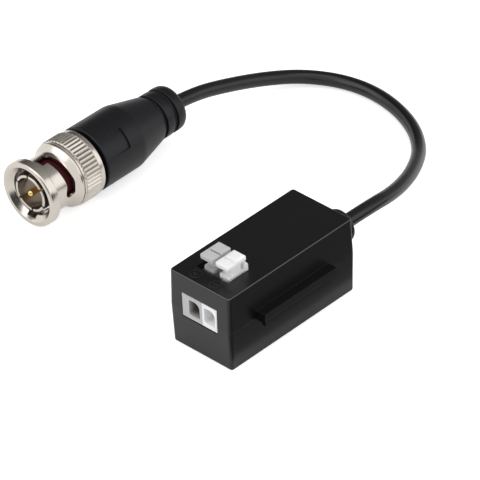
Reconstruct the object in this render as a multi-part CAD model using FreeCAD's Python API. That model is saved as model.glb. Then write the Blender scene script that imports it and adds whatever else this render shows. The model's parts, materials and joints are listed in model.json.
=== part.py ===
import FreeCAD, Part
import math
import os

# A passive video balun: a two-part moulded case with a board, a lever terminal block
# at the front, and a short coaxial lead at the rear that ends in a bayonet plug.
# Millimetres. The origin is the centre of the case's base, +Z is up, and the wires
# enter from the front, which faces -Y. Heights are above the surface that the case
# stands on.

# Case
CASE_WIDTH = 16.0
CASE_LENGTH = 34.8
CASE_HEIGHT = 17.0
PARTING_Z = 9.0
SIDE_WALL = 1.5
FLOOR_WALL = 1.5
ROOF_WALL = 1.5
BASE_DRAFT = 0.30
ROOF_DRAFT = 0.25
CORNER_RADIUS = 0.9
EDGE_RADIUS = 0.3
BASE_EDGE_RADIUS = 0.5
LIP_HEIGHT = 1.2
LIP_THICKNESS = 0.65
LIP_CLEARANCE = 0.1
SNAP_RADIUS = 0.3
SNAP_LENGTH = 4.0
SNAP_SPACING = 18.0

# Side rail that locks one case beside another
RAIL_LENGTH = 20.0
RAIL_REACH = 2.1
RAIL_ABOVE_PARTING = 1.5
RAIL_WEB_BELOW_PARTING = 0.6
RAIL_HOOK_BELOW_PARTING = 1.15
RAIL_HOOK_THICKNESS = 0.8
RAIL_HOOK_SHORTER = 1.5

# Board
BOARD_THICKNESS = 1.6
BOARD_TOP_Z = 7.4
BOARD_SIDE_GAP = 0.15
BOARD_END_GAP = 0.25
BOARD_NOTCH_GAP = 0.3
POST_SIZE = 2.3
PEG_RADIUS = 0.55
PEG_CLEARANCE = 0.1
PEG_INSET = 1.2
HOLD_DOWN_GAP = 0.05

# Lever terminal block
TERMINAL_PITCH = 3.96
TERMINAL_OFFSET_X = 0.56
END_WALL = 1.2
MODULE_GAP = 0.04
NOSE_SETBACK = 0.1
NOSE_WIDTH_TRIM = 0.03
NOSE_BOTTOM_Z = 7.72
NOSE_HEIGHT = 5.25
WINDOW_SIDE_GAP = 0.06
WINDOW_BOTTOM_GAP = 0.28
WINDOW_TOP_GAP = 0.08
BODY_FRONT_GAP = 0.2
BODY_DEPTH = 8.9
BODY_ROOF_GAP = 0.3
BODY_SEAT_GAP = 0.05
WIRE_HOLE_WIDTH = 2.75
WIRE_HOLE_BOTTOM_Z = 8.65
WIRE_HOLE_HEIGHT = 3.45
WIRE_HOLE_CORNER = 1.3
WIRE_HOLE_FOOT_CORNER = 0.55
CHAMBER_FRONT = 3.0
CHAMBER_REAR = 9.8
CHAMBER_ROOF = 0.8
LEVER_SLOT_WIDTH = 2.0
LEVER_SLOT_FRONT = 4.9
LEVER_SLOT_REAR = 8.3

# Levers: distances back from the case's front face, heights above the base
PIVOT_DEPTH = 9.6
PIVOT_PIN_RADIUS = 0.50
PIVOT_CLEARANCE = 0.05
BARREL_RADIUS = 0.62
BARREL_GAP = 0.08
CHEEK_INNER = 1.42
CHEEK_THICKNESS = 0.50
CHEEK_HEIGHT = 1.35
CHEEK_FRONT = 8.6
CHEEK_REAR = 10.4
HEAD_WIDTH = 3.2
HEAD_FRONT = 3.9
HEAD_LENGTH = 5.2
HEAD_ABOVE_FOOT = 3.7
HEAD_THICKNESS = 0.95
HEAD_CORNER = 0.5
HEAD_EDGE = 0.2
PAD_FRONT = 6.35
PAD_HEIGHT = 0.25
PAD_LEFT_MARGIN = 0.5
PAD_MARGIN = 0.2
PAD_EDGE = 0.15
NECK_WIDTH = 2.5
NECK_FRONT_WIDTH = 1.6
NECK_FRONT = 5.3
NECK_TAPER_REAR = 7.4
NECK_REAR = 7.9
NECK_WAIST = 0.35
BOSS_RADIUS = 0.55
BOSS_WIDTH = 2.3
BOSS_DEPTH_POSITION = 5.95
BOSS_ABOVE_FOOT = 2.0
FOOT_WIDTH = 2.6
FOOT_FRONT = 4.5
FOOT_REAR = 9.75
FOOT_ABOVE_PIVOT = 1.05
FOOT_THICKNESS = 0.8
FOOT_CORNER = 0.35
HEEL_FRONT = 8.85
HEEL_NOTCH = 0.15
HEEL_SLOPE_TOP = 2.35
HEEL_SLOPE_BOTTOM = 1.45
TONGUE_WIDTH = 1.6
TONGUE_BELOW_ROOF = 0.3
TONGUE_SPRING_GAP = 0.15
TONGUE_FRONT = 5.8
TONGUE_LENGTH = 1.7
OPENING_LEFT_GAP = 1.63
OPENING_RIGHT_GAP = 0.12
OPENING_FRONT_GAP = 0.4
OPENING_REAR_GAP = 0.3
POCKET_GAP = 0.15
POCKET_SKIN = 0.37

# Metal inside the terminal block
SPRING_THICKNESS = 0.25
SPRING_WIDTH = 2.45
SPRING_FRONT = 4.3
SPRING_LOOP_REAR = 9.05
SPRING_HOOK_GAP = 0.15
SPRING_HOOK_HEIGHT = 0.5
SPRING_WINDOW_WIDTH = 1.9
SPRING_WINDOW_BELOW_TOP = 0.7
CONTACT_THICKNESS = 0.4
CONTACT_WIDTH = 1.7
CONTACT_TOP_Z = 11.9
CONTACT_FRONT = 3.7
CONTACT_REAR = 9.5
CONTACT_PIN_WIDTH = 1.0
CONTACT_PIN_BELOW_BOARD = 1.2
CONTACT_PIN_CLEARANCE = 0.05
PIN_HOLE_RADIUS = 0.70

# Balun transformer and small parts on the board
CORE_OUTER_RADIUS = 4.0
CORE_INNER_RADIUS = 2.0
CORE_HEIGHT = 3.6
CORE_CENTRE_Y = -1.4
CORE_CHAMFER = 0.3
WINDING_TURNS = 12
WINDING_ARC = 300.0
WINDING_WIRE = 0.36
WINDING_GAP = 0.06
WINDING_CHAMFER = 0.2
CHIP_LENGTH = 2.0
CHIP_WIDTH = 1.25
CAPACITOR_HEIGHT = 1.25
RESISTOR_HEIGHT = 0.55
SUPPRESSOR_LENGTH = 4.4
SUPPRESSOR_WIDTH = 3.6
SUPPRESSOR_HEIGHT = 2.2
SUPPRESSOR_CHAMFER = 0.4
LEAD_THICKNESS = 0.2
LEAD_WIDTH = 2.0
LEAD_REACH = 0.9

# Cable and its gland
CABLE_RADIUS = 1.5
CABLE_FIT = 0.05
CABLE_CORE_RADIUS = 0.5
GLAND_RADIUS = 3.58
GLAND_REACH = 5.2
GLAND_NECK_RADIUS = 2.7
GLAND_FLANGE_RADIUS = 3.5
GLAND_FLANGE_THICKNESS = 1.4
GLAND_EDGE_RADIUS = 0.6
GLAND_FIT = 0.05
GLAND_FLANGE_GAP = 0.2
JACKET_INSIDE_CASE = 4.4
CONDUCTOR_RADIUS = 0.25
BRAID_RADIUS = 0.45
BRAID_PAD_X = 2.4
WIRE_RUN = 1.5

# Bayonet plug: distances back from the plug's front face
PLUG_X = -55.4
PLUG_AXIS_Z = 7.25
PLUG_FRONT_Y = -8.75
KNURL_RADIUS = 7.25
KNURL_DEPTH = 0.28
KNURL_TEETH = 48
KNURL_FRONT = 9.6
KNURL_LENGTH = 3.95
NUT_RIM_RADIUS = 7.1
NUT_RIM_THICKNESS = 2.05
NUT_RIM_BEVEL = 0.35
NUT_REAR_CHAMFER = 0.2
NUT_NECK_RADIUS = 5.83
NUT_SHOULDER_FRONT = 7.4
NUT_SHOULDER_RADIUS = 6.95
NUT_SHOULDER_REAR = 8.75
NUT_GROOVE_FRONT = 8.9
NUT_GROOVE_WIDTH = 0.2
NUT_GROOVE_DEPTH = 0.2
NUT_BAND_RADIUS = 7.1
NUT_LENGTH = 14.7
NUT_BORE_RADIUS = 4.9
NUT_MOUTH_RADIUS = 6.0
NUT_CAVITY_RADIUS = 5.95
RAMP_SLOT_WIDTH = 2.0
RAMP_START_ANGLE = 90.0
RAMP_END_ANGLE = -1.0
RAMP_START = 5.65
RAMP_RISE = 1.15
ENTRY_WIDTH = 2.3
ENTRY_DEPTH = 0.6
ENTRY_CUT_FRONT = 3.5
DETENT_BACK = 0.5
SLEEVE_RADIUS = 4.05
SLEEVE_WALL = 0.6
SLEEVE_FRONT = 0.55
SLEEVE_CUTS = 6
SLEEVE_CUT_WIDTH = 0.45
SLEEVE_CUT_LENGTH = 4.85
SLEEVE_FIRST_CUT = 36.0
SEAT_FLANGE_FRONT = 7.65
STOP_FLANGE_FRONT = 8.3
STOP_FLANGE_REAR = 9.25
STOP_FLANGE_GAP = 0.2
RUNNING_FIT = 0.05
STOP_GAP = 0.1
HUB_RADIUS = 4.6
HUB_REAR = 16.25
SHANK_RADIUS = 2.6
SHANK_REAR = 21.05
SHELL_BORE_RADIUS = 1.6
INSULATOR_RADIUS = 3.0
INSULATOR_FRONT = 5.85
INSULATOR_REAR = 9.65
PIN_RADIUS = 0.675
PIN_FRONT = 0.3
PIN_SHOULDER_RADIUS = 1.0
PIN_REAR = 14.65
GASKET_FRONT = 4.85
GASKET_GAP = 0.1
SNAP_RING_FRONT = 11.75
SNAP_RING_THICKNESS = 0.6
SNAP_RING_OUTER = 6.25
SNAP_RING_GAP_ANGLE = 40.0
SNAP_RING_CLEARANCE = 0.15
SNAP_GROOVE_CLEARANCE = 0.05
SNAP_GROOVE_EXTRA = 0.1
WAVE_COUNT = 3
WAVE_STEPS = 8
WAVE_THICKNESS = 0.25
WAVE_GAP = 0.1
FERRULE_OUTER = 3.05
FERRULE_REAR = 23.65
BOOT_FRONT = 15.65
BOOT_SPIGOT_FRONT = 13.55
BOOT_SPIGOT_RADIUS = 5.6
BOOT_RADIUS = 7.05
BOOT_BARREL_REAR_RADIUS = 7.0
BOOT_BARREL_REAR = 26.15
BOOT_TAIL_RADIUS = 4.95
BOOT_TAIL_FRONT = 34.35
BOOT_LENGTH_END = 40.65
BOOT_TAIL_EDGE = 1.4
BOOT_FRONT_CHAMFER = 0.25
BOOT_GROOVES = (35.65, 38.95)
BOOT_GROOVE_WIDTH = 0.8
BOOT_GROOVE_DEPTH = 0.55
BOOT_PAD_ANGLE = 37.5
BOOT_PAD_WIDTH = 4.4
BOOT_PAD_FRONT = 18.05
BOOT_PAD_REAR = 22.65
BOOT_PAD_FLAT = 6.68

# Corners of the lead's route, from the gland's end to the boot's end
CABLE_ROUTE = [
    (0.0, 22.6, 9.0), (0.0, 30.8, 9.0), (-1.7, 38.1, 7.0), (-4.4, 45.3, 5.1),
    (-8.1, 52.0, 3.4), (-12.6, 58.3, 1.8), (-18.6, 63.4, 1.5), (-26.0, 66.6, 1.5),
    (-33.9, 67.8, 1.5), (-41.5, 66.4, 1.5), (-47.9, 62.0, 2.0), (-51.9, 55.5, 3.5),
    (-53.2, 47.2, 5.7), (-55.4, 38.6, 7.25), (-55.4, 31.9, 7.25),
]
ARC_SHARE = 0.45

# Places worked out from the sizes above
FRONT_Y = -CASE_LENGTH / 2
REAR_Y = CASE_LENGTH / 2
BOARD_BOTTOM_Z = BOARD_TOP_Z - BOARD_THICKNESS
CEILING_Z = CASE_HEIGHT - ROOF_WALL
BODY_TOP_Z = CEILING_Z - BODY_ROOF_GAP
CHAMBER_TOP_Z = BODY_TOP_Z - CHAMBER_ROOF
PIVOT_Z = BODY_TOP_Z + BARREL_GAP + BARREL_RADIUS
FOOT_BOTTOM_Z = PIVOT_Z + FOOT_ABOVE_PIVOT
HEAD_TOP_Z = FOOT_BOTTOM_Z + HEAD_ABOVE_FOOT
TONGUE_BOTTOM_Z = CHAMBER_TOP_Z - TONGUE_BELOW_ROOF
SPRING_TOP_Z = TONGUE_BOTTOM_Z - TONGUE_SPRING_GAP - SPRING_THICKNESS
SPRING_HOOK_TOP_Z = CONTACT_TOP_Z - CONTACT_THICKNESS - SPRING_HOOK_GAP
GLAND_REAR_Y = REAR_Y + GLAND_REACH
BODY_FRONT = SIDE_WALL + BODY_FRONT_GAP
BODY_REAR = BODY_FRONT + BODY_DEPTH
NOSE_TOP_Z = NOSE_BOTTOM_Z + NOSE_HEIGHT
GREY_CENTRE_X = TERMINAL_OFFSET_X - TERMINAL_PITCH / 2
WHITE_CENTRE_X = TERMINAL_OFFSET_X + TERMINAL_PITCH / 2
BLOCK_LEFT_X = TERMINAL_OFFSET_X - TERMINAL_PITCH - END_WALL
BLOCK_RIGHT_X = TERMINAL_OFFSET_X + TERMINAL_PITCH
HEAD_BOTTOM_Z = HEAD_TOP_Z - HEAD_THICKNESS
HEAD_REAR = HEAD_FRONT + HEAD_LENGTH
FOOT_TOP_Z = FOOT_BOTTOM_Z + FOOT_THICKNESS
OVER = 1.0
CLOSE = 1e-4

os.makedirs("parts", exist_ok=True)


def vec(x, y, z):
    return FreeCAD.Vector(x, y, z)


def box(x0, x1, y0, y1, z0, z1):
    return Part.makeBox(x1 - x0, y1 - y0, z1 - z0, vec(x0, y0, z0))


def depth_y(depth):
    """Y of a place that lies this far behind the case's front face."""
    return FRONT_Y + depth


def block(centre_x, width, depth0, depth1, z0, z1):
    """A box centred on one terminal, between two depths from the front face."""
    return box(centre_x - width / 2, centre_x + width / 2, depth_y(depth0), depth_y(depth1), z0, z1)


def prism_x(outline, x0, x1):
    """A (depth, z) outline extruded across the case from x0 to x1."""
    points = [vec(x0, depth_y(d), z) for d, z in outline]
    face = Part.Face(Part.makePolygon(points + points[:1]))
    return face.extrude(vec(x1 - x0, 0, 0))


def pin_x(radius, x0, x1, depth, z):
    return Part.makeCylinder(radius, x1 - x0, vec(x0, depth_y(depth), z), vec(1, 0, 0))


def round_outline(width, length, radius, z):
    """A rounded rectangle centred on the Z axis, as a wire at height z."""
    x, y, r = width / 2, length / 2, radius
    k = r * (1 - math.sqrt(0.5))
    corners = [(1, 1), (-1, 1), (-1, -1), (1, -1)]
    edges = []
    for i, (sx, sy) in enumerate(corners):
        along_y = vec(sx * x, sy * (y - r), z)
        along_x = vec(sx * (x - r), sy * y, z)
        middle = vec(sx * (x - k), sy * (y - k), z)
        first, last = (along_y, along_x) if i % 2 == 0 else (along_x, along_y)
        edges.append(Part.Arc(first, middle, last).toShape())
        nx, ny = corners[(i + 1) % 4]
        start = last
        end = vec(nx * (x - r), ny * y, z) if i % 2 == 0 else vec(nx * x, ny * (y - r), z)
        edges.append(Part.LineSegment(start, end).toShape())
    return Part.Wire(edges)


def draft_inset(z):
    """How far the case's wall stands in from its widest line, the parting line."""
    if z <= PARTING_Z:
        return BASE_DRAFT * (PARTING_Z - z) / PARTING_Z
    return ROOF_DRAFT * (z - PARTING_Z) / (CASE_HEIGHT - PARTING_Z)


def case_block(inset, z0, z1):
    """A solid that follows the case's drafted walls, set in by inset."""
    wires = []
    for z in (z0, z1):
        step = inset + draft_inset(z)
        radius = max(CORNER_RADIUS - step, 0.2)
        wires.append(round_outline(CASE_WIDTH - 2 * step, CASE_LENGTH - 2 * step, radius, z))
    return Part.makeLoft(wires, True, True)


def edges_at_z(shape, z):
    """The edges of a shape that lie wholly at height z."""
    return [e for e in shape.Edges
            if abs(e.BoundBox.ZMin - z) < CLOSE and abs(e.BoundBox.ZMax - z) < CLOSE]


def window_cut():
    """The opening in the front wall that the terminal block's nose stands in."""
    return box(BLOCK_LEFT_X + NOSE_WIDTH_TRIM - WINDOW_SIDE_GAP,
               BLOCK_RIGHT_X - NOSE_WIDTH_TRIM + WINDOW_SIDE_GAP,
               FRONT_Y - OVER, FRONT_Y + SIDE_WALL + OVER,
               NOSE_BOTTOM_Z - WINDOW_BOTTOM_GAP, NOSE_TOP_Z + WINDOW_TOP_GAP)


def gland_hole():
    return Part.makeCylinder(GLAND_NECK_RADIUS + GLAND_FIT, SIDE_WALL + 2 * OVER,
                             vec(0, REAR_Y - SIDE_WALL - OVER, PARTING_Z), vec(0, 1, 0))


def lip_snaps(radius):
    """Two snap beads on each long side of the lip."""
    x = CASE_WIDTH / 2 - SIDE_WALL + LIP_THICKNESS - LIP_CLEARANCE
    z = PARTING_Z + LIP_HEIGHT / 2
    beads = []
    for sx in (-1, 1):
        for sy in (-1, 1):
            start = vec(sx * x, sy * SNAP_SPACING / 2 - SNAP_LENGTH / 2, z)
            beads.append(Part.makeCylinder(radius, SNAP_LENGTH, start, vec(0, 1, 0)))
    return beads


def board_corners():
    """The four corners of the board, as sign pairs."""
    return [(sx, sy) for sx in (-1, 1) for sy in (-1, 1)]


def board_half_size():
    half_width = CASE_WIDTH / 2 - SIDE_WALL - draft_inset(BOARD_BOTTOM_Z) - BOARD_SIDE_GAP
    half_length = CASE_LENGTH / 2 - SIDE_WALL - draft_inset(BOARD_BOTTOM_Z) - BOARD_END_GAP
    return half_width, half_length


def peg_centres():
    half_width, half_length = board_half_size()
    return [(sx * (half_width - PEG_INSET), sy * (half_length - PEG_INSET), sx, sy)
            for sx, sy in board_corners()]


def corner_post(sx, sy, z0, z1):
    """A square post in one corner that runs into both walls."""
    half_width, half_length = board_half_size()
    overlap = SIDE_WALL / 2
    x0, x1 = sorted((sx * (half_width - POST_SIZE), sx * (half_width + overlap)))
    y0, y1 = sorted((sy * (half_length - POST_SIZE), sy * (half_length + overlap)))
    return box(x0, x1, y0, y1, z0, z1)


def rail_half(z0, z1, x0, x1, y1):
    return box(x0, x1, -RAIL_LENGTH / 2, y1, z0, z1)


def make_lower_shell():
    outer = case_block(0, 0, PARTING_Z)
    outer = outer.makeFillet(BASE_EDGE_RADIUS, edges_at_z(outer, 0))
    shell = outer.cut(case_block(SIDE_WALL, FLOOR_WALL, PARTING_Z))
    lip_top = PARTING_Z + LIP_HEIGHT
    root = PARTING_Z - LIP_HEIGHT / 2
    lip = case_block(SIDE_WALL - LIP_THICKNESS, root, PARTING_Z).fuse(
        case_block(SIDE_WALL - LIP_THICKNESS, PARTING_Z, lip_top))
    lip = lip.cut(case_block(SIDE_WALL, root, PARTING_Z)).cut(case_block(SIDE_WALL, PARTING_Z, lip_top))
    posts = [corner_post(sx, sy, FLOOR_WALL / 2, BOARD_BOTTOM_Z) for sx, sy in board_corners()]
    pegs = [Part.makeCylinder(PEG_RADIUS, BOARD_THICKNESS, vec(x, y, BOARD_BOTTOM_Z - PEG_CLEARANCE))
            for x, y, _, _ in peg_centres()]
    wall_x = CASE_WIDTH / 2 - SIDE_WALL / 2
    reach_x = CASE_WIDTH / 2 + RAIL_REACH
    web = rail_half(PARTING_Z - RAIL_WEB_BELOW_PARTING, PARTING_Z, wall_x, reach_x, RAIL_LENGTH / 2)
    hook = rail_half(PARTING_Z - RAIL_HOOK_BELOW_PARTING, PARTING_Z, reach_x - RAIL_HOOK_THICKNESS,
                     reach_x, RAIL_LENGTH / 2 - RAIL_HOOK_SHORTER)
    shell = shell.fuse([lip] + lip_snaps(SNAP_RADIUS) + posts + pegs + [web, hook])
    return shell.cut([window_cut(), gland_hole()]).removeSplitter()


def lever_opening():
    """The opening in the roof that the levers stand in, and the pocket below for their cheeks."""
    opening = box(GREY_CENTRE_X - FOOT_WIDTH / 2 - OPENING_LEFT_GAP,
                  WHITE_CENTRE_X + FOOT_WIDTH / 2 + OPENING_RIGHT_GAP,
                  depth_y(FOOT_FRONT - OPENING_FRONT_GAP), depth_y(FOOT_REAR + OPENING_REAR_GAP),
                  CEILING_Z - OVER, CASE_HEIGHT + OVER)
    half = CHEEK_INNER + CHEEK_THICKNESS + POCKET_GAP
    pocket = box(GREY_CENTRE_X - half, WHITE_CENTRE_X + half, depth_y(CHEEK_FRONT - POCKET_GAP),
                 depth_y(CHEEK_REAR + POCKET_GAP), CEILING_Z - OVER, CASE_HEIGHT - POCKET_SKIN)
    return opening.fuse(pocket)


def make_upper_shell():
    outer = case_block(0, PARTING_Z, CASE_HEIGHT)
    outer = outer.makeFillet(EDGE_RADIUS, edges_at_z(outer, CASE_HEIGHT))
    shell = outer.cut(case_block(SIDE_WALL, PARTING_Z, CEILING_Z))
    rebate = case_block(SIDE_WALL - LIP_THICKNESS - LIP_CLEARANCE, PARTING_Z,
                        PARTING_Z + LIP_HEIGHT + LIP_CLEARANCE)
    shell = shell.cut([rebate] + lip_snaps(SNAP_RADIUS + LIP_CLEARANCE))
    posts = [corner_post(sx, 1, BOARD_TOP_Z + HOLD_DOWN_GAP, CEILING_Z + ROOF_WALL / 2)
             for sx in (-1, 1)]
    inside = SIDE_WALL + LIP_CLEARANCE
    lip_end = PARTING_Z + LIP_HEIGHT + LIP_CLEARANCE
    trim = case_block(inside, BOARD_BOTTOM_Z, PARTING_Z).fuse(
        [case_block(inside, PARTING_Z, lip_end),
         case_block(SIDE_WALL / 2, lip_end, CASE_HEIGHT - ROOF_WALL / 2)])
    posts = [p.common(trim) for p in posts]
    wall_x = CASE_WIDTH / 2 - (SIDE_WALL - LIP_THICKNESS - LIP_CLEARANCE) / 2
    rail = rail_half(PARTING_Z, PARTING_Z + RAIL_ABOVE_PARTING, wall_x,
                     CASE_WIDTH / 2 + RAIL_REACH, RAIL_LENGTH / 2)
    shell = shell.fuse(posts + [rail])
    return shell.cut([window_cut(), gland_hole(), lever_opening()]).removeSplitter()


def contact_pin_y():
    return depth_y(CONTACT_REAR - CONTACT_THICKNESS / 2)


def make_circuit_board():
    half_width, half_length = board_half_size()
    board = box(-half_width, half_width, -half_length, half_length, BOARD_BOTTOM_Z, BOARD_TOP_Z)
    holes = [Part.makeCylinder(PEG_RADIUS + PEG_CLEARANCE, BOARD_THICKNESS, vec(x, y, BOARD_BOTTOM_Z))
             for x, y, _, _ in peg_centres()]
    for centre_x in (GREY_CENTRE_X, WHITE_CENTRE_X):
        holes.append(Part.makeCylinder(PIN_HOLE_RADIUS, BOARD_THICKNESS,
                                       vec(centre_x, contact_pin_y(), BOARD_BOTTOM_Z)))
    notch_half = GLAND_FLANGE_RADIUS + BOARD_NOTCH_GAP
    notch_front = REAR_Y - SIDE_WALL - GLAND_FLANGE_GAP - GLAND_FLANGE_THICKNESS - BOARD_NOTCH_GAP
    notch = box(-notch_half, notch_half, notch_front, REAR_Y, BOARD_BOTTOM_Z, BOARD_TOP_Z)
    return board.cut(holes + [notch])


def wire_channel(centre_x):
    """The wire's way in, with a round upper corner on the right and a smaller one below left."""
    x0, x1 = centre_x - WIRE_HOLE_WIDTH / 2, centre_x + WIRE_HOLE_WIDTH / 2
    z0, z1 = WIRE_HOLE_BOTTOM_Z, WIRE_HOLE_BOTTOM_Z + WIRE_HOLE_HEIGHT
    y0, r, q = depth_y(NOSE_SETBACK) - OVER, WIRE_HOLE_CORNER, WIRE_HOLE_FOOT_CORNER
    k, m = r * (1 - math.sqrt(0.5)), q * (1 - math.sqrt(0.5))
    top_arc = Part.Arc(vec(x1, y0, z1 - r), vec(x1 - k, y0, z1 - k), vec(x1 - r, y0, z1)).toShape()
    foot_arc = Part.Arc(vec(x0, y0, z0 + q), vec(x0 + m, y0, z0 + m), vec(x0 + q, y0, z0)).toShape()
    upper = Part.makePolygon([vec(x1 - r, y0, z1), vec(x0, y0, z1), vec(x0, y0, z0 + q)])
    lower = Part.makePolygon([vec(x0 + q, y0, z0), vec(x1, y0, z0), vec(x1, y0, z1 - r)])
    face = Part.Face(Part.Wire([top_arc] + upper.Edges + [foot_arc] + lower.Edges))
    return face.extrude(vec(0, CHAMBER_FRONT + 2 * OVER - NOSE_SETBACK, 0))


def make_terminal_body(x_left, x_right, centre_x, trim_left, trim_right):
    body_bottom = BOARD_TOP_Z + BODY_SEAT_GAP
    main = box(x_left, x_right, depth_y(BODY_FRONT), depth_y(BODY_REAR), body_bottom, BODY_TOP_Z)
    nose = box(x_left + trim_left, x_right - trim_right, depth_y(NOSE_SETBACK),
               depth_y(BODY_FRONT) + OVER, NOSE_BOTTOM_Z, NOSE_TOP_Z)
    body = main.fuse(nose)
    for side in (-1, 1):
        inner = centre_x + side * CHEEK_INNER
        x0, x1 = sorted((inner, inner + side * CHEEK_THICKNESS))
        body = body.fuse(box(x0, x1, depth_y(CHEEK_FRONT), depth_y(CHEEK_REAR),
                             BODY_TOP_Z - OVER / 2, BODY_TOP_Z + CHEEK_HEIGHT))
    cuts = [
        wire_channel(centre_x),
        block(centre_x, WIRE_HOLE_WIDTH, CHAMBER_FRONT, CHAMBER_REAR, WIRE_HOLE_BOTTOM_Z, CHAMBER_TOP_Z),
        block(centre_x, LEVER_SLOT_WIDTH, LEVER_SLOT_FRONT, LEVER_SLOT_REAR,
              CHAMBER_TOP_Z - OVER, BODY_TOP_Z + OVER),
        pin_x(PIVOT_PIN_RADIUS + PIVOT_CLEARANCE, centre_x - CHEEK_INNER - CHEEK_THICKNESS - OVER / 2,
              centre_x + CHEEK_INNER + CHEEK_THICKNESS + OVER / 2, PIVOT_DEPTH, PIVOT_Z),
        block(centre_x, CONTACT_PIN_WIDTH + 2 * CONTACT_PIN_CLEARANCE,
              CONTACT_REAR - CONTACT_THICKNESS - CONTACT_PIN_CLEARANCE,
              CONTACT_REAR + CONTACT_PIN_CLEARANCE, body_bottom - OVER, WIRE_HOLE_BOTTOM_Z + OVER),
    ]
    return body.cut(cuts).removeSplitter()


def lever_head(centre_x):
    """The head that a finger presses, with a raised pad on its rear half."""
    head = block(centre_x, HEAD_WIDTH, HEAD_FRONT, HEAD_REAR, HEAD_BOTTOM_Z, HEAD_TOP_Z)
    upright = [e for e in head.Edges if e.BoundBox.ZLength > HEAD_THICKNESS / 2]
    head = head.makeFillet(HEAD_CORNER, upright)
    head = head.makeChamfer(HEAD_EDGE, edges_at_z(head, HEAD_TOP_Z))
    pad = box(centre_x - HEAD_WIDTH / 2 + PAD_LEFT_MARGIN, centre_x + HEAD_WIDTH / 2 - PAD_MARGIN,
              depth_y(PAD_FRONT), depth_y(HEAD_REAR - PAD_MARGIN), HEAD_TOP_Z - PAD_EDGE,
              HEAD_TOP_Z + PAD_HEIGHT)
    return head.fuse(pad.makeChamfer(PAD_EDGE, edges_at_z(pad, HEAD_TOP_Z + PAD_HEIGHT)))


def lever_neck(centre_x):
    """The neck between foot and head: waisted seen from the side, tapered to the front from above."""
    waist_z = (FOOT_TOP_Z + HEAD_BOTTOM_Z) / 2
    overlap = HEAD_THICKNESS / 4
    side = prism_x([(NECK_FRONT, FOOT_TOP_Z - overlap), (NECK_FRONT + NECK_WAIST, waist_z),
                    (NECK_FRONT, HEAD_BOTTOM_Z + overlap), (NECK_REAR, HEAD_BOTTOM_Z + overlap),
                    (NECK_REAR, FOOT_TOP_Z - overlap)],
                   centre_x - NECK_WIDTH / 2, centre_x + NECK_WIDTH / 2)
    half = [(NECK_FRONT_WIDTH / 2, NECK_FRONT), (NECK_WIDTH / 2, NECK_TAPER_REAR),
            (NECK_WIDTH / 2, NECK_REAR)]
    outline = half + [(-x, depth) for x, depth in reversed(half)]
    points = [vec(centre_x + x, depth_y(depth), FOOT_BOTTOM_Z) for x, depth in outline]
    plan = Part.Face(Part.makePolygon(points + points[:1])).extrude(vec(0, 0, HEAD_ABOVE_FOOT))
    return side.common(plan)


def make_lever(centre_x):
    """A rocking lever: head, neck with a round boss, foot, heel, tongue and pivot pin."""
    overlap = HEAD_THICKNESS / 4
    boss = pin_x(BOSS_RADIUS, centre_x - BOSS_WIDTH / 2, centre_x + BOSS_WIDTH / 2,
                 BOSS_DEPTH_POSITION, FOOT_BOTTOM_Z + BOSS_ABOVE_FOOT)
    foot = block(centre_x, FOOT_WIDTH, FOOT_FRONT, FOOT_REAR, FOOT_BOTTOM_Z, FOOT_TOP_Z)
    front_y = depth_y(FOOT_FRONT)
    front_corners = [e for e in foot.Edges
                     if e.BoundBox.ZLength > FOOT_THICKNESS / 2 and abs(e.BoundBox.YMin - front_y) < CLOSE]
    foot = foot.makeFillet(FOOT_CORNER, front_corners)
    heel = prism_x([(HEEL_FRONT, FOOT_BOTTOM_Z), (HEEL_FRONT, HEAD_BOTTOM_Z + overlap),
                    (HEEL_FRONT + HEEL_NOTCH, HEAD_BOTTOM_Z + overlap),
                    (HEEL_FRONT + HEEL_NOTCH, FOOT_BOTTOM_Z + HEEL_SLOPE_TOP),
                    (FOOT_REAR, FOOT_BOTTOM_Z + HEEL_SLOPE_BOTTOM), (FOOT_REAR, FOOT_BOTTOM_Z)],
                   centre_x - FOOT_WIDTH / 2, centre_x + FOOT_WIDTH / 2)
    barrel = pin_x(BARREL_RADIUS, centre_x - FOOT_WIDTH / 2, centre_x + FOOT_WIDTH / 2,
                   PIVOT_DEPTH, PIVOT_Z)
    hanger = block(centre_x, FOOT_WIDTH, PIVOT_DEPTH - BARREL_RADIUS, FOOT_REAR, PIVOT_Z, FOOT_TOP_Z)
    pin_half = CHEEK_INNER + CHEEK_THICKNESS - PIVOT_CLEARANCE
    trunnion = pin_x(PIVOT_PIN_RADIUS, centre_x - pin_half, centre_x + pin_half, PIVOT_DEPTH, PIVOT_Z)
    tip = TONGUE_LENGTH / 4
    tongue = prism_x([(TONGUE_FRONT, FOOT_TOP_Z - overlap), (TONGUE_FRONT, BODY_TOP_Z - tip),
                      (TONGUE_FRONT + tip, TONGUE_BOTTOM_Z),
                      (TONGUE_FRONT + TONGUE_LENGTH - tip, TONGUE_BOTTOM_Z + tip),
                      (TONGUE_FRONT + TONGUE_LENGTH, BODY_TOP_Z - tip),
                      (TONGUE_FRONT + TONGUE_LENGTH, FOOT_TOP_Z - overlap)],
                     centre_x - TONGUE_WIDTH / 2, centre_x + TONGUE_WIDTH / 2)
    return lever_head(centre_x).fuse([lever_neck(centre_x), boss, foot, heel, barrel, hanger,
                                      trunnion, tongue]).removeSplitter()


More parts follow.
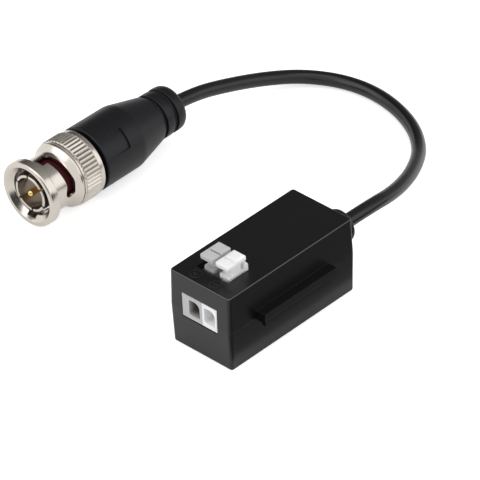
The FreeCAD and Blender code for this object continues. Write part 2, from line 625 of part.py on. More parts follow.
def make_clamp_spring(centre_x):
    """A cage spring: fixed leg on the contact, loop, sprung leg, and a tail with a window."""
    fixed_z = CONTACT_TOP_Z + SPRING_THICKNESS + MODULE_GAP
    loop_z = (fixed_z + SPRING_TOP_Z) / 2
    bend = (SPRING_TOP_Z - fixed_z) / 4
    inner = [(SPRING_FRONT + 2 * bend, fixed_z), (SPRING_LOOP_REAR - 2 * bend, fixed_z),
             (SPRING_LOOP_REAR - bend / 2, fixed_z + bend / 2), (SPRING_LOOP_REAR, loop_z),
             (SPRING_LOOP_REAR - bend, SPRING_TOP_Z - bend),
             (SPRING_LOOP_REAR - 2 * bend, SPRING_TOP_Z - bend / 2), (SPRING_FRONT, SPRING_TOP_Z),
             (SPRING_FRONT, SPRING_HOOK_TOP_Z - SPRING_HOOK_HEIGHT)]
    middle = [vec(centre_x - SPRING_WIDTH / 2, depth_y(d), z) for d, z in inner]
    strip = Part.makePolygon(middle).makeOffset2D(SPRING_THICKNESS, 0, True, True)
    spring = strip.extrude(vec(SPRING_WIDTH, 0, 0))
    window = block(centre_x, SPRING_WINDOW_WIDTH, SPRING_FRONT - 2 * SPRING_THICKNESS,
                   SPRING_FRONT + 2 * SPRING_THICKNESS, SPRING_HOOK_TOP_Z,
                   SPRING_TOP_Z - SPRING_WINDOW_BELOW_TOP)
    return spring.cut(window)


def make_contact_bar(centre_x):
    """A copper bar that the spring's hook presses the wire against, with a solder pin."""
    bottom = CONTACT_TOP_Z - CONTACT_THICKNESS
    bar = block(centre_x, CONTACT_WIDTH, CONTACT_FRONT, CONTACT_REAR, bottom, CONTACT_TOP_Z)
    leg = block(centre_x, CONTACT_WIDTH, CONTACT_REAR - CONTACT_THICKNESS, CONTACT_REAR,
                WIRE_HOLE_BOTTOM_Z + MODULE_GAP, CONTACT_TOP_Z)
    pin = block(centre_x, CONTACT_PIN_WIDTH, CONTACT_REAR - CONTACT_THICKNESS, CONTACT_REAR,
                BOARD_BOTTOM_Z - CONTACT_PIN_BELOW_BOARD, WIRE_HOLE_BOTTOM_Z + CONTACT_THICKNESS)
    return bar.fuse([leg, pin]).removeSplitter()


def core_bottom_z():
    return BOARD_TOP_Z + BODY_SEAT_GAP + WINDING_WIRE + WINDING_GAP


def make_balun_core():
    ring = Part.makeCylinder(CORE_OUTER_RADIUS, CORE_HEIGHT, vec(0, CORE_CENTRE_Y, core_bottom_z()))
    hole = Part.makeCylinder(CORE_INNER_RADIUS, CORE_HEIGHT, vec(0, CORE_CENTRE_Y, core_bottom_z()))
    ring = ring.cut(hole)
    rims = [e for e in ring.Edges if isinstance(e.Curve, Part.Circle)]
    return ring.makeChamfer(CORE_CHAMFER, rims)


def make_balun_winding():
    """Closed turns of enamelled wire round the ring core, over most of its circle."""
    r0, r1 = CORE_INNER_RADIUS - WINDING_GAP, CORE_OUTER_RADIUS + WINDING_GAP
    z0, z1 = core_bottom_z() - WINDING_GAP, core_bottom_z() + CORE_HEIGHT + WINDING_GAP
    half = WINDING_WIRE / 2
    hole = box(r0, r1, -half, half, z0, z1)
    turn = box(r0 - WINDING_WIRE, r1 + WINDING_WIRE, -half, half, z0 - WINDING_WIRE, z1 + WINDING_WIRE)
    turn = turn.makeChamfer(WINDING_CHAMFER, [e for e in turn.Edges if e.BoundBox.YLength > half])
    turn = turn.cut(hole)
    turns = []
    for i in range(WINDING_TURNS):
        copy = turn.copy()
        copy.rotate(vec(0, 0, 0), vec(0, 0, 1), i * WINDING_ARC / WINDING_TURNS)
        copy.translate(vec(0, CORE_CENTRE_Y, 0))
        turns.append(copy)
    return Part.makeCompound(turns)


def chip_row(x, first_y, spacing, count, height):
    """A row of small ceramic chips that sit on the board."""
    return [box(x - CHIP_LENGTH / 2, x + CHIP_LENGTH / 2, first_y + i * spacing - CHIP_WIDTH / 2,
                first_y + i * spacing + CHIP_WIDTH / 2, BOARD_TOP_Z, BOARD_TOP_Z + height)
            for i in range(count)]


def make_capacitors():
    x = CORE_INNER_RADIUS + CHIP_LENGTH / 2
    first_y = CORE_CENTRE_Y + CORE_OUTER_RADIUS + 1.5 * CHIP_WIDTH
    return Part.makeCompound(chip_row(x, first_y, 1.6 * CHIP_WIDTH, 2, CAPACITOR_HEIGHT))


def make_resistors():
    half_width, _ = board_half_size()
    x = half_width - CHIP_LENGTH / 2 - MODULE_GAP
    first_y = CORE_CENTRE_Y + CORE_OUTER_RADIUS + 4.7 * CHIP_WIDTH
    return Part.makeCompound(chip_row(x, first_y, 1.6 * CHIP_WIDTH, 2, RESISTOR_HEIGHT))


def suppressor_centre():
    return -CORE_INNER_RADIUS - SUPPRESSOR_CHAMFER, CORE_CENTRE_Y + CORE_OUTER_RADIUS + SUPPRESSOR_WIDTH


def make_surge_suppressor():
    x, y = suppressor_centre()
    z0 = BOARD_TOP_Z + LEAD_THICKNESS / 2
    body = box(x - SUPPRESSOR_WIDTH / 2, x + SUPPRESSOR_WIDTH / 2, y - SUPPRESSOR_LENGTH / 2,
               y + SUPPRESSOR_LENGTH / 2, z0, z0 + SUPPRESSOR_HEIGHT)
    return body.makeChamfer(SUPPRESSOR_CHAMFER, edges_at_z(body, z0 + SUPPRESSOR_HEIGHT))


def make_suppressor_leads():
    """Two tinned leads that fold down from the body's ends to the board."""
    x, y = suppressor_centre()
    mid_z = BOARD_TOP_Z + LEAD_THICKNESS / 2 + SUPPRESSOR_HEIGHT / 2
    leads = []
    for side in (-1, 1):
        face_y = y + side * SUPPRESSOR_LENGTH / 2
        y0, y1 = sorted((face_y, face_y + side * LEAD_THICKNESS))
        down = box(x - LEAD_WIDTH / 2, x + LEAD_WIDTH / 2, y0, y1, BOARD_TOP_Z, mid_z)
        y0, y1 = sorted((face_y, face_y + side * LEAD_REACH))
        out = box(x - LEAD_WIDTH / 2, x + LEAD_WIDTH / 2, y0, y1, BOARD_TOP_Z,
                  BOARD_TOP_Z + LEAD_THICKNESS)
        leads.append(down.fuse(out).removeSplitter())
    return Part.makeCompound(leads)


def route_wire(points):
    """Straight runs joined by tangent arcs, and the arcs' radii."""
    corners = [vec(*p) for p in points]
    edges, radii, start = [], [], corners[0]
    for before, at, after in zip(corners, corners[1:], corners[2:]):
        back, ahead = before - at, after - at
        turn = math.pi - back.getAngle(ahead)
        radius = ARC_SHARE * min(back.Length, ahead.Length) / math.tan(turn / 2)
        cut = radius * math.tan(turn / 2)
        unit_back, unit_ahead = FreeCAD.Vector(back).normalize(), FreeCAD.Vector(ahead).normalize()
        first, last = at + unit_back * cut, at + unit_ahead * cut
        inward = (unit_back + unit_ahead).normalize()
        middle = at + inward * (radius / math.cos(turn / 2) - radius)
        edges.append(Part.LineSegment(start, first).toShape())
        edges.append(Part.Arc(first, middle, last).toShape())
        radii.append(radius)
        start = last
    edges.append(Part.LineSegment(start, corners[-1]).toShape())
    return Part.Wire(edges), radii


def round_tube(points, radius):
    path, radii = route_wire(points)
    first = vec(*points[0])
    direction = vec(*points[1]) - first
    profile = Part.Wire([Part.makeCircle(radius, first, direction)])
    return path.makePipeShell([profile], True, False), path.Length, radii


def make_signal_cable():
    tube, length, radii = round_tube(CABLE_ROUTE, CABLE_RADIUS)
    print("cable length %.1f, radii %s" % (length, ", ".join("%.1f" % r for r in radii)))
    section = math.pi * CABLE_RADIUS ** 2
    print("cable volume %.1f, section times length %.1f" % (tube.Volume, section * length))
    return tube


def revolve_y(outline, axis_x, axis_z, y0):
    """A closed (radius, distance) outline turned about a line along Y."""
    points = [vec(axis_x + r, y0 + d, axis_z) for r, d in outline]
    face = Part.Face(Part.makePolygon(points + points[:1]))
    return face.revolve(vec(axis_x, y0, axis_z), vec(0, 1, 0), 360)


def tube_y(outer, inner, start, end, axis_x, axis_z, y0):
    return revolve_y([(inner, start), (outer, start), (outer, end), (inner, end)], axis_x, axis_z, y0)


def jacket_front_y():
    return REAR_Y - JACKET_INSIDE_CASE


def make_cable_gland():
    """A spool-shaped grommet: flange inside the wall, neck in the hole, barrel outside."""
    flange_rear = REAR_Y - SIDE_WALL - GLAND_FLANGE_GAP
    flange_front = flange_rear - GLAND_FLANGE_THICKNESS
    bore = CABLE_RADIUS + CABLE_FIT
    outline = [(bore, flange_front), (GLAND_FLANGE_RADIUS, flange_front),
               (GLAND_FLANGE_RADIUS, flange_rear), (GLAND_NECK_RADIUS, flange_rear),
               (GLAND_NECK_RADIUS, REAR_Y + GLAND_FIT), (GLAND_RADIUS, REAR_Y + GLAND_FIT),
               (GLAND_RADIUS, GLAND_REAR_Y), (bore, GLAND_REAR_Y)]
    gland = revolve_y(outline, 0, PARTING_Z, 0)
    rear_rim = [e for e in gland.Edges if abs(e.BoundBox.YMin - GLAND_REAR_Y) < CLOSE
                and e.BoundBox.ZLength > 2 * GLAND_RADIUS - EDGE_RADIUS]
    return gland.makeFillet(GLAND_EDGE_RADIUS, rear_rim)


def make_jacket_in_gland():
    return Part.makeCylinder(CABLE_RADIUS, GLAND_REAR_Y - jacket_front_y(),
                             vec(0, jacket_front_y(), PARTING_Z), vec(0, 1, 0))


def bend_down(x0, x1, radius, drop_to):
    """A stripped wire that leaves the jacket's end and comes down to a pad."""
    y = jacket_front_y()
    points = [(x0, y, PARTING_Z), (x0, y - WIRE_RUN, PARTING_Z),
              (x1, y - 2 * WIRE_RUN, drop_to), (x1, y - 3 * WIRE_RUN, drop_to)]
    return round_tube(points, radius)[0]


def make_core_wire():
    return bend_down(0.0, 0.0, CONDUCTOR_RADIUS, BOARD_TOP_Z + CONDUCTOR_RADIUS)


def make_braid_tail():
    start_x = CABLE_RADIUS - BRAID_RADIUS
    return bend_down(start_x, BRAID_PAD_X, BRAID_RADIUS, BOARD_TOP_Z + BRAID_RADIUS)


def plug_revolve(outline):
    return revolve_y(outline, PLUG_X, PLUG_AXIS_Z, PLUG_FRONT_Y)


def plug_tube(outer, inner, start, end):
    return tube_y(outer, inner, start, end, PLUG_X, PLUG_AXIS_Z, PLUG_FRONT_Y)


def plug_rod(radius, start, end):
    return Part.makeCylinder(radius, end - start, vec(PLUG_X, PLUG_FRONT_Y + start, PLUG_AXIS_Z),
                             vec(0, 1, 0))


def turned(shape, angle):
    """A copy turned about the plug's axis, from +X towards +Z for a positive angle."""
    copy = shape.copy()
    copy.rotate(vec(PLUG_X, PLUG_FRONT_Y, PLUG_AXIS_Z), vec(0, -1, 0), angle)
    return copy


def radial_pin(radius, distance, angle):
    """A round cutter that stands out from the plug's axis at an angle."""
    inner = SLEEVE_RADIUS
    pin = Part.makeCylinder(radius, 2 * NUT_RIM_RADIUS,
                            vec(PLUG_X + inner, PLUG_FRONT_Y + distance, PLUG_AXIS_Z), vec(1, 0, 0))
    return turned(pin, angle)


def ramp_cutter(first_angle):
    """The cutter of one bayonet ramp: an entry cut, a helical run and a round detent."""
    sweep = RAMP_START_ANGLE - RAMP_END_ANGLE
    pitch = RAMP_RISE * 360 / sweep
    helix = Part.makeHelix(pitch, RAMP_RISE, NUT_BORE_RADIUS)
    inner, outer = NUT_BORE_RADIUS - OVER / 2, NUT_NECK_RADIUS + OVER
    half = RAMP_SLOT_WIDTH / 2
    corners = [vec(inner, 0, -half), vec(outer, 0, -half), vec(outer, 0, half), vec(inner, 0, half)]
    profile = Part.makePolygon(corners + corners[:1])
    run = Part.Wire(helix.Edges).makePipeShell([profile], True, True)
    run.rotate(vec(0, 0, 0), vec(1, 0, 0), -90)
    run.translate(vec(PLUG_X, PLUG_FRONT_Y + RAMP_START, PLUG_AXIS_Z))
    run = turned(run, first_angle)
    last_angle = first_angle - sweep
    detent = radial_pin(half, RAMP_START + RAMP_RISE - DETENT_BACK, last_angle)
    start = radial_pin(half, RAMP_START, first_angle)
    entry = box(PLUG_X + SLEEVE_RADIUS, PLUG_X + outer, PLUG_FRONT_Y + ENTRY_CUT_FRONT,
                PLUG_FRONT_Y + RAMP_START, PLUG_AXIS_Z - ENTRY_WIDTH / 2, PLUG_AXIS_Z + ENTRY_WIDTH / 2)
    return [run, detent, start, turned(entry, first_angle)]


def entry_channel(angle):
    """The blind channel inside the rim that lets a lug reach its ramp."""
    channel = box(PLUG_X, PLUG_X + NUT_BORE_RADIUS + ENTRY_DEPTH, PLUG_FRONT_Y - OVER,
                  PLUG_FRONT_Y + RAMP_START, PLUG_AXIS_Z - ENTRY_WIDTH / 2, PLUG_AXIS_Z + ENTRY_WIDTH / 2)
    return turned(channel, angle)


def knurled_ring():
    """A ring with straight rounded ridges all round."""
    root = KNURL_RADIUS - KNURL_DEPTH
    step = 2 * math.pi / KNURL_TEETH
    points = []
    for i in range(KNURL_TEETH):
        for share, radius in ((-0.30, root), (-0.14, KNURL_RADIUS), (0.14, KNURL_RADIUS), (0.30, root)):
            angle = -math.pi / 2 + (i + share) * step
            points.append(vec(PLUG_X + radius * math.cos(angle), PLUG_FRONT_Y + KNURL_FRONT,
                              PLUG_AXIS_Z + radius * math.sin(angle)))
    face = Part.Face(Part.makePolygon(points + points[:1]))
    return face.extrude(vec(0, KNURL_LENGTH, 0))


def make_coupling_nut():
    knurl_rear = KNURL_FRONT + KNURL_LENGTH
    root = KNURL_RADIUS - KNURL_DEPTH
    groove_floor = NUT_SHOULDER_RADIUS - NUT_GROOVE_DEPTH
    groove_end = NUT_GROOVE_FRONT + NUT_GROOVE_WIDTH
    body = plug_revolve([
        (0, 0), (NUT_RIM_RADIUS - NUT_RIM_BEVEL, 0), (NUT_RIM_RADIUS, NUT_RIM_BEVEL),
        (NUT_RIM_RADIUS, NUT_RIM_THICKNESS), (NUT_NECK_RADIUS, NUT_RIM_THICKNESS),
        (NUT_NECK_RADIUS, NUT_SHOULDER_FRONT), (NUT_SHOULDER_RADIUS, NUT_SHOULDER_REAR),
        (NUT_SHOULDER_RADIUS, NUT_GROOVE_FRONT), (groove_floor, NUT_GROOVE_FRONT),
        (groove_floor, groove_end), (NUT_BAND_RADIUS, groove_end),
        (NUT_BAND_RADIUS, KNURL_FRONT), (root, KNURL_FRONT), (root, knurl_rear),
        (NUT_BAND_RADIUS, knurl_rear), (NUT_BAND_RADIUS, NUT_LENGTH - NUT_REAR_CHAMFER),
        (NUT_BAND_RADIUS - NUT_REAR_CHAMFER, NUT_LENGTH), (0, NUT_LENGTH)])
    groove_front = SNAP_RING_FRONT - SNAP_GROOVE_CLEARANCE
    groove_rear = SNAP_RING_FRONT + SNAP_RING_THICKNESS + SNAP_GROOVE_CLEARANCE
    groove_radius = SNAP_RING_OUTER + SNAP_GROOVE_EXTRA
    mouth = NUT_MOUTH_RADIUS - NUT_BORE_RADIUS
    cavity_front = STOP_FLANGE_FRONT - STOP_GAP
    bore = plug_revolve([
        (0, 0), (NUT_MOUTH_RADIUS, 0), (NUT_BORE_RADIUS, mouth), (NUT_BORE_RADIUS, cavity_front),
        (NUT_CAVITY_RADIUS, cavity_front), (NUT_CAVITY_RADIUS, groove_front),
        (groove_radius, groove_front), (groove_radius, groove_rear), (NUT_CAVITY_RADIUS, groove_rear),
        (NUT_CAVITY_RADIUS, NUT_LENGTH), (0, NUT_LENGTH)])
    cutters = [bore]
    for first_angle in (RAMP_START_ANGLE, RAMP_START_ANGLE + 180):
        cutters += ramp_cutter(first_angle)
        cutters.append(entry_channel(first_angle))
    return body.fuse(knurled_ring()).cut(cutters).removeSplitter()


def make_connector_shell():
    """The plug's body: slit contact sleeve, seat and stop flanges, hub and crimp shank."""
    seat_radius = NUT_BORE_RADIUS - RUNNING_FIT
    stop_radius = NUT_CAVITY_RADIUS - STOP_FLANGE_GAP
    insulator_bore = INSULATOR_RADIUS + RUNNING_FIT / 2
    sleeve_floor = INSULATOR_FRONT + SLEEVE_WALL
    shell = plug_revolve([
        (SLEEVE_RADIUS - SLEEVE_WALL, SLEEVE_FRONT), (SLEEVE_RADIUS, SLEEVE_FRONT),
        (SLEEVE_RADIUS, SEAT_FLANGE_FRONT), (seat_radius, SEAT_FLANGE_FRONT),
        (seat_radius, STOP_FLANGE_FRONT), (stop_radius, STOP_FLANGE_FRONT),
        (stop_radius, STOP_FLANGE_REAR), (HUB_RADIUS, STOP_FLANGE_REAR), (HUB_RADIUS, HUB_REAR),
        (SHANK_RADIUS, HUB_REAR), (SHANK_RADIUS, SHANK_REAR), (SHELL_BORE_RADIUS, SHANK_REAR),
        (SHELL_BORE_RADIUS, INSULATOR_REAR), (insulator_bore, INSULATOR_REAR),
        (insulator_bore, sleeve_floor), (SLEEVE_RADIUS - SLEEVE_WALL, sleeve_floor)])
    half = SLEEVE_CUT_WIDTH / 2
    slit = box(PLUG_X + SLEEVE_RADIUS - 2 * SLEEVE_WALL, PLUG_X + SLEEVE_RADIUS + SLEEVE_WALL,
               PLUG_FRONT_Y, PLUG_FRONT_Y + SLEEVE_CUT_LENGTH, PLUG_AXIS_Z - half, PLUG_AXIS_Z + half)
    slits = [turned(slit, SLEEVE_FIRST_CUT + i * 360 / SLEEVE_CUTS) for i in range(SLEEVE_CUTS)]
    return shell.cut(slits)


def make_insulator():
    return plug_tube(INSULATOR_RADIUS, PIN_RADIUS + RUNNING_FIT / 2, INSULATOR_FRONT, INSULATOR_REAR)


def make_centre_pin():
    """A contact pin with a ball end and a wider soldering barrel."""
    tip = PIN_FRONT + PIN_RADIUS
    ball = Part.makeSphere(PIN_RADIUS, vec(PLUG_X, PLUG_FRONT_Y + tip, PLUG_AXIS_Z))
    barrel = plug_rod(PIN_SHOULDER_RADIUS, INSULATOR_REAR, PIN_REAR)
    return plug_rod(PIN_RADIUS, tip, INSULATOR_REAR).fuse([ball, barrel]).removeSplitter()


def make_plug_gasket():
    return plug_tube(NUT_BORE_RADIUS - GASKET_GAP, SLEEVE_RADIUS + RUNNING_FIT, GASKET_FRONT,
                     SEAT_FLANGE_FRONT)


def make_wave_spring():
    """Two wavy rings, crest to crest, between the stop flange and the snap ring."""
    inner = HUB_RADIUS + SNAP_RING_CLEARANCE
    outer = NUT_CAVITY_RADIUS - STOP_FLANGE_GAP
    length = SNAP_RING_FRONT - STOP_FLANGE_REAR
    swing = length / 4 - WAVE_THICKNESS / 2 - WAVE_GAP / 2
    rings = []
    for layer, side in ((0, 1), (1, -1)):
        middle = STOP_FLANGE_REAR + length * (0.25 + layer / 2) - WAVE_THICKNESS / 2
        wires = []
        for radius in (inner, outer):
            points = []
            for i in range(WAVE_COUNT * WAVE_STEPS):
                angle = 2 * math.pi * i / (WAVE_COUNT * WAVE_STEPS)
                rise = side * swing * math.cos(WAVE_COUNT * angle)
                points.append(vec(PLUG_X + radius * math.cos(angle), PLUG_FRONT_Y + middle + rise,
                                  PLUG_AXIS_Z + radius * math.sin(angle)))
            wires.append(Part.makePolygon(points + points[:1]))
        steps = Part.makeRuledSurface(wires[0], wires[1]).extrude(vec(0, WAVE_THICKNESS, 0)).Solids
        rings.append(steps[0].fuse(steps[1:]))
    return Part.makeCompound(rings)


def make_snap_ring():
    ring = plug_tube(SNAP_RING_OUTER, HUB_RADIUS + SNAP_RING_CLEARANCE, SNAP_RING_FRONT,
                     SNAP_RING_FRONT + SNAP_RING_THICKNESS)
    half = SNAP_RING_OUTER * math.sin(math.radians(SNAP_RING_GAP_ANGLE / 2))
    gap = box(PLUG_X, PLUG_X + 2 * SNAP_RING_OUTER, PLUG_FRONT_Y, PLUG_FRONT_Y + NUT_LENGTH,
              PLUG_AXIS_Z - half, PLUG_AXIS_Z + half)
    return ring.cut(turned(gap, RAMP_START_ANGLE))


def make_crimp_ferrule():
    """A stepped sleeve: wide over the shank, narrow over the jacket."""
    return plug_revolve([
        (SHANK_RADIUS + RUNNING_FIT, HUB_REAR), (FERRULE_OUTER, HUB_REAR),
        (FERRULE_OUTER, FERRULE_REAR), (CABLE_RADIUS + CABLE_FIT, FERRULE_REAR),
        (CABLE_RADIUS + CABLE_FIT, SHANK_REAR + CABLE_FIT),
        (SHANK_RADIUS + RUNNING_FIT, SHANK_REAR + CABLE_FIT)])


def make_plug_boot():
    """The over-moulded boot: spigot in the nut, barrel, cone and a grooved tail."""
    bore = CABLE_RADIUS + CABLE_FIT
    boot = plug_revolve([
        (HUB_RADIUS + CABLE_FIT, BOOT_SPIGOT_FRONT), (BOOT_SPIGOT_RADIUS, BOOT_SPIGOT_FRONT),
        (BOOT_SPIGOT_RADIUS, BOOT_FRONT), (BOOT_RADIUS - BOOT_FRONT_CHAMFER, BOOT_FRONT),
        (BOOT_RADIUS, BOOT_FRONT + BOOT_FRONT_CHAMFER), (BOOT_BARREL_REAR_RADIUS, BOOT_BARREL_REAR),
        (BOOT_TAIL_RADIUS, BOOT_TAIL_FRONT), (BOOT_TAIL_RADIUS, BOOT_LENGTH_END),
        (bore, BOOT_LENGTH_END), (bore, FERRULE_REAR + CABLE_FIT),
        (FERRULE_OUTER + CABLE_FIT, FERRULE_REAR + CABLE_FIT),
        (FERRULE_OUTER + CABLE_FIT, HUB_REAR + CABLE_FIT),
        (HUB_RADIUS + CABLE_FIT, HUB_REAR + CABLE_FIT)])
    end_y = PLUG_FRONT_Y + BOOT_LENGTH_END
    rear_rim = [e for e in boot.Edges if abs(e.BoundBox.YMin - end_y) < CLOSE
                and e.BoundBox.ZLength > 2 * BOOT_TAIL_RADIUS - EDGE_RADIUS]
    boot = boot.makeFillet(BOOT_TAIL_EDGE, rear_rim)
    half = BOOT_GROOVE_WIDTH / 2
    cutters = [plug_tube(BOOT_RADIUS, BOOT_TAIL_RADIUS - BOOT_GROOVE_DEPTH, at - half, at + half)
               for at in BOOT_GROOVES]
    pad = box(PLUG_X + BOOT_PAD_FLAT, PLUG_X + 2 * BOOT_RADIUS, PLUG_FRONT_Y + BOOT_PAD_FRONT,
              PLUG_FRONT_Y + BOOT_PAD_REAR, PLUG_AXIS_Z - BOOT_PAD_WIDTH / 2,
              PLUG_AXIS_Z + BOOT_PAD_WIDTH / 2)
    cutters.append(turned(pad, BOOT_PAD_ANGLE))
    return boot.cut(cutters)


def make_jacket_in_boot():
    return plug_rod(CABLE_RADIUS, SHANK_REAR + 2 * CABLE_FIT, BOOT_LENGTH_END)


def make_cable_core_in_plug():
    return plug_rod(CABLE_CORE_RADIUS, PIN_REAR, SHANK_REAR + 2 * CABLE_FIT)


NODES = {
    "lower_shell": make_lower_shell(),
    "upper_shell": make_upper_shell(),
    "circuit_board": make_circuit_board(),
    "terminal_body_grey": make_terminal_body(BLOCK_LEFT_X, TERMINAL_OFFSET_X - MODULE_GAP / 2,
                                             GREY_CENTRE_X, NOSE_WIDTH_TRIM, 0),
    "terminal_body_white": make_terminal_body(TERMINAL_OFFSET_X + MODULE_GAP / 2, BLOCK_RIGHT_X,
                                              WHITE_CENTRE_X, 0, NOSE_WIDTH_TRIM),
    "lever_grey": make_lever(GREY_CENTRE_X),
    "lever_white": make_lever(WHITE_CENTRE_X),
    "clamp_spring_grey": make_clamp_spring(GREY_CENTRE_X),
    "clamp_spring_white": make_clamp_spring(WHITE_CENTRE_X),
    "contact_bar_grey": make_contact_bar(GREY_CENTRE_X),
    "contact_bar_white": make_contact_bar(WHITE_CENTRE_X),
    "balun_core": make_balun_core(),
    "balun_winding": make_balun_winding(),
    "chip_capacitors": make_capacitors(),
    "chip_resistors": make_resistors(),
    "surge_suppressor": make_surge_suppressor(),
    "suppressor_leads": make_suppressor_leads(),
    "cable_gland": make_cable_gland(),
    "jacket_in_gland": make_jacket_in_gland(),
    "core_wire": make_core_wire(),
    "braid_tail": make_braid_tail(),
    "signal_cable": make_signal_cable(),
    "plug_boot": make_plug_boot(),
    "jacket_in_boot": make_jacket_in_boot(),
    "cable_core_in_plug": make_cable_core_in_plug(),
    "crimp_ferrule": make_crimp_ferrule(),
    "connector_shell": make_connector_shell(),
    "plug_insulator": make_insulator(),
    "centre_pin": make_centre_pin(),
    "plug_gasket": make_plug_gasket(),
    "wave_spring": make_wave_spring(),
    "snap_ring": make_snap_ring(),
    "coupling_nut": make_coupling_nut(),
}

for name, shape in NODES.items():
    if not shape.isValid():
        print("not valid:", name)
    print("%-22s solids %d volume %9.2f z %6.2f to %6.2f" % (
        name, len(shape.Solids), shape.Volume, shape.BoundBox.ZMin, shape.BoundBox.ZMax))
    shape.exportStep("parts/%s.step" % name)
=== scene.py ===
# %% [markdown]
# # A video balun with a short lead
#
# A balun joins a camera's coaxial plug to a twisted pair of wires. This one is a small
# black case with two lever terminals, and a short lead with a bayonet plug. The packed
# model gives every piece its true place, in metres, so this lesson only adds looks: a
# studio, finishes, and finer surfaces for the pieces that catch the light.

import json
import math

import bmesh
import bpy
import numpy as np
from mathutils import Matrix, Vector


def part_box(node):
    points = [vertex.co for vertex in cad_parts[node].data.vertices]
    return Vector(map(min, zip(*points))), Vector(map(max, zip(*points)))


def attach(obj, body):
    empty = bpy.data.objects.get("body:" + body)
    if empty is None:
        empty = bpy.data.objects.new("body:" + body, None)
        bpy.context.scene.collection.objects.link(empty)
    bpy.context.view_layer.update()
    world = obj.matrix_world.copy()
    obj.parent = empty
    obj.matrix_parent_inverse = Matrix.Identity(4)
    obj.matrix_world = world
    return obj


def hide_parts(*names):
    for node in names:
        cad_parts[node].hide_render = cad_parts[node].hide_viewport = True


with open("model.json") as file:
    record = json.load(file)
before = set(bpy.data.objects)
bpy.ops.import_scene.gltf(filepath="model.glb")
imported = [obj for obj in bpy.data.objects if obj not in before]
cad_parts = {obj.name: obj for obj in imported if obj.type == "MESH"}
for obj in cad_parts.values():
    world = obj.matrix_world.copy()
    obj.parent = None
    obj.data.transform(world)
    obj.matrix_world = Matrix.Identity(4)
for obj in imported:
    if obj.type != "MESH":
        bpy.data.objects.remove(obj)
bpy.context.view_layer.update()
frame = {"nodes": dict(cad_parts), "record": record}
nodes = frame["nodes"]
print("pieces in the model:", len(nodes))

# %% [markdown]
# ## The camera
#
# The photograph was taken from far away with a long lens, so edges that are parallel
# stay almost parallel. A camera could be placed by eye, but a fit of the case's edges
# gives its place and its turn at once. It stands in front, to the right and above. Its
# three axes are written as rows: to the right, down, and forward.

# %% Place the camera
RIGHT = Vector((0.72468548, 0.68796846, -0.03911978))
DOWN = Vector((0.38393728, -0.45026708, -0.80613381))
FORWARD = Vector((-0.57220899, 0.56917392, -0.59043876))
CAMERA_AT = Vector((0.541373, -0.544143, 0.579558))
LENS = 375.0
SENSOR_WIDTH = 36.0


def put_in_scene(name, data):
    """A new object that shows a mesh, a curve, a lamp or a camera."""
    made = bpy.data.objects.new(name, data)
    bpy.context.scene.collection.objects.link(made)
    return made


camera = put_in_scene("photo_camera", bpy.data.cameras.new("photo_camera"))
camera.data.lens = LENS
camera.data.sensor_width = SENSOR_WIDTH
camera.data.clip_start = 0.05
camera.data.clip_end = 20.0
camera.matrix_world = Matrix((
    (RIGHT.x, -DOWN.x, -FORWARD.x, CAMERA_AT.x),
    (RIGHT.y, -DOWN.y, -FORWARD.y, CAMERA_AT.y),
    (RIGHT.z, -DOWN.z, -FORWARD.z, CAMERA_AT.z),
    (0, 0, 0, 1),
))
bpy.context.scene.camera = camera
print("camera height above the floor:", round(CAMERA_AT.z, 3), "m")

# %% [markdown]
# ## Tools for surfaces
#
# Most pieces of a plug are turned on a lathe, and most pieces of a terminal are moulded in
# a simple tool. They could be pushed together from Blender's own cylinders and cubes, but
# two kinds of surface give nearly all of them: an outline turned round an axis, and an
# outline carried along an axis. An outline is written in millimetres, as on a drawing, and
# every corner has its own small rounding, because no real edge is sharp.

# %% Round the corners of an outline
MM = 0.001


def soften(corners, steps=4):
    """A closed outline with rounded corners, in metres.

    A row is (a, b, trim) in millimetres. Its corner becomes a parabola that leaves both
    sides trim away from it: point(t) = (1-t)^2 start + 2t(1-t) corner + t^2 end.
    """
    rows = np.array(corners, dtype=float) * MM
    corner, trim = rows[:, :2], rows[:, 2:]
    before = np.roll(corner, 1, axis=0) - corner
    after = np.roll(corner, -1, axis=0) - corner
    start = corner + trim * before / np.linalg.norm(before, axis=1, keepdims=True)
    end = corner + trim * after / np.linalg.norm(after, axis=1, keepdims=True)
    t = np.linspace(0, 1, steps + 1)[None, :, None]
    rounded = (1 - t) ** 2 * start[:, None] + 2 * t * (1 - t) * corner[:, None] + t ** 2 * end[:, None]
    return rounded.reshape(-1, 2)


def rectangle(a0, a1, b0, b1, trim):
    """A rectangle with rounded corners, anticlockwise."""
    return soften([(a0, b0, trim), (a1, b0, trim), (a1, b1, trim), (a0, b1, trim)])


print("a square with round corners has", len(rectangle(0, 1, 0, 1, 0.1)), "points")


# %% Number the faces of a grid
def grid_faces(rows, columns, close_rows=True, close_columns=True):
    """The quads of a grid whose point (i, j) is number i * columns + j."""
    i = np.arange(rows if close_rows else rows - 1)[:, None]
    j = np.arange(columns if close_columns else columns - 1)[None, :]
    next_i, next_j = (i + 1) % rows, (j + 1) % columns
    quads = np.stack([i * columns + j, i * columns + next_j,
                      next_i * columns + next_j, next_i * columns + j], axis=-1)
    return quads.reshape(-1, 4).tolist()


def laid_out(first, second, along, axis):
    """Points of two crosswise coordinates and one along the axis, y or z, in the order x, y, z."""
    order = {"y": (first, along, second), "z": (first, second, along)}
    return np.stack(np.broadcast_arrays(*order[axis]), axis=-1).reshape(-1, 3)


print("a ring of 3 by 4 points has", len(grid_faces(3, 4)), "faces")


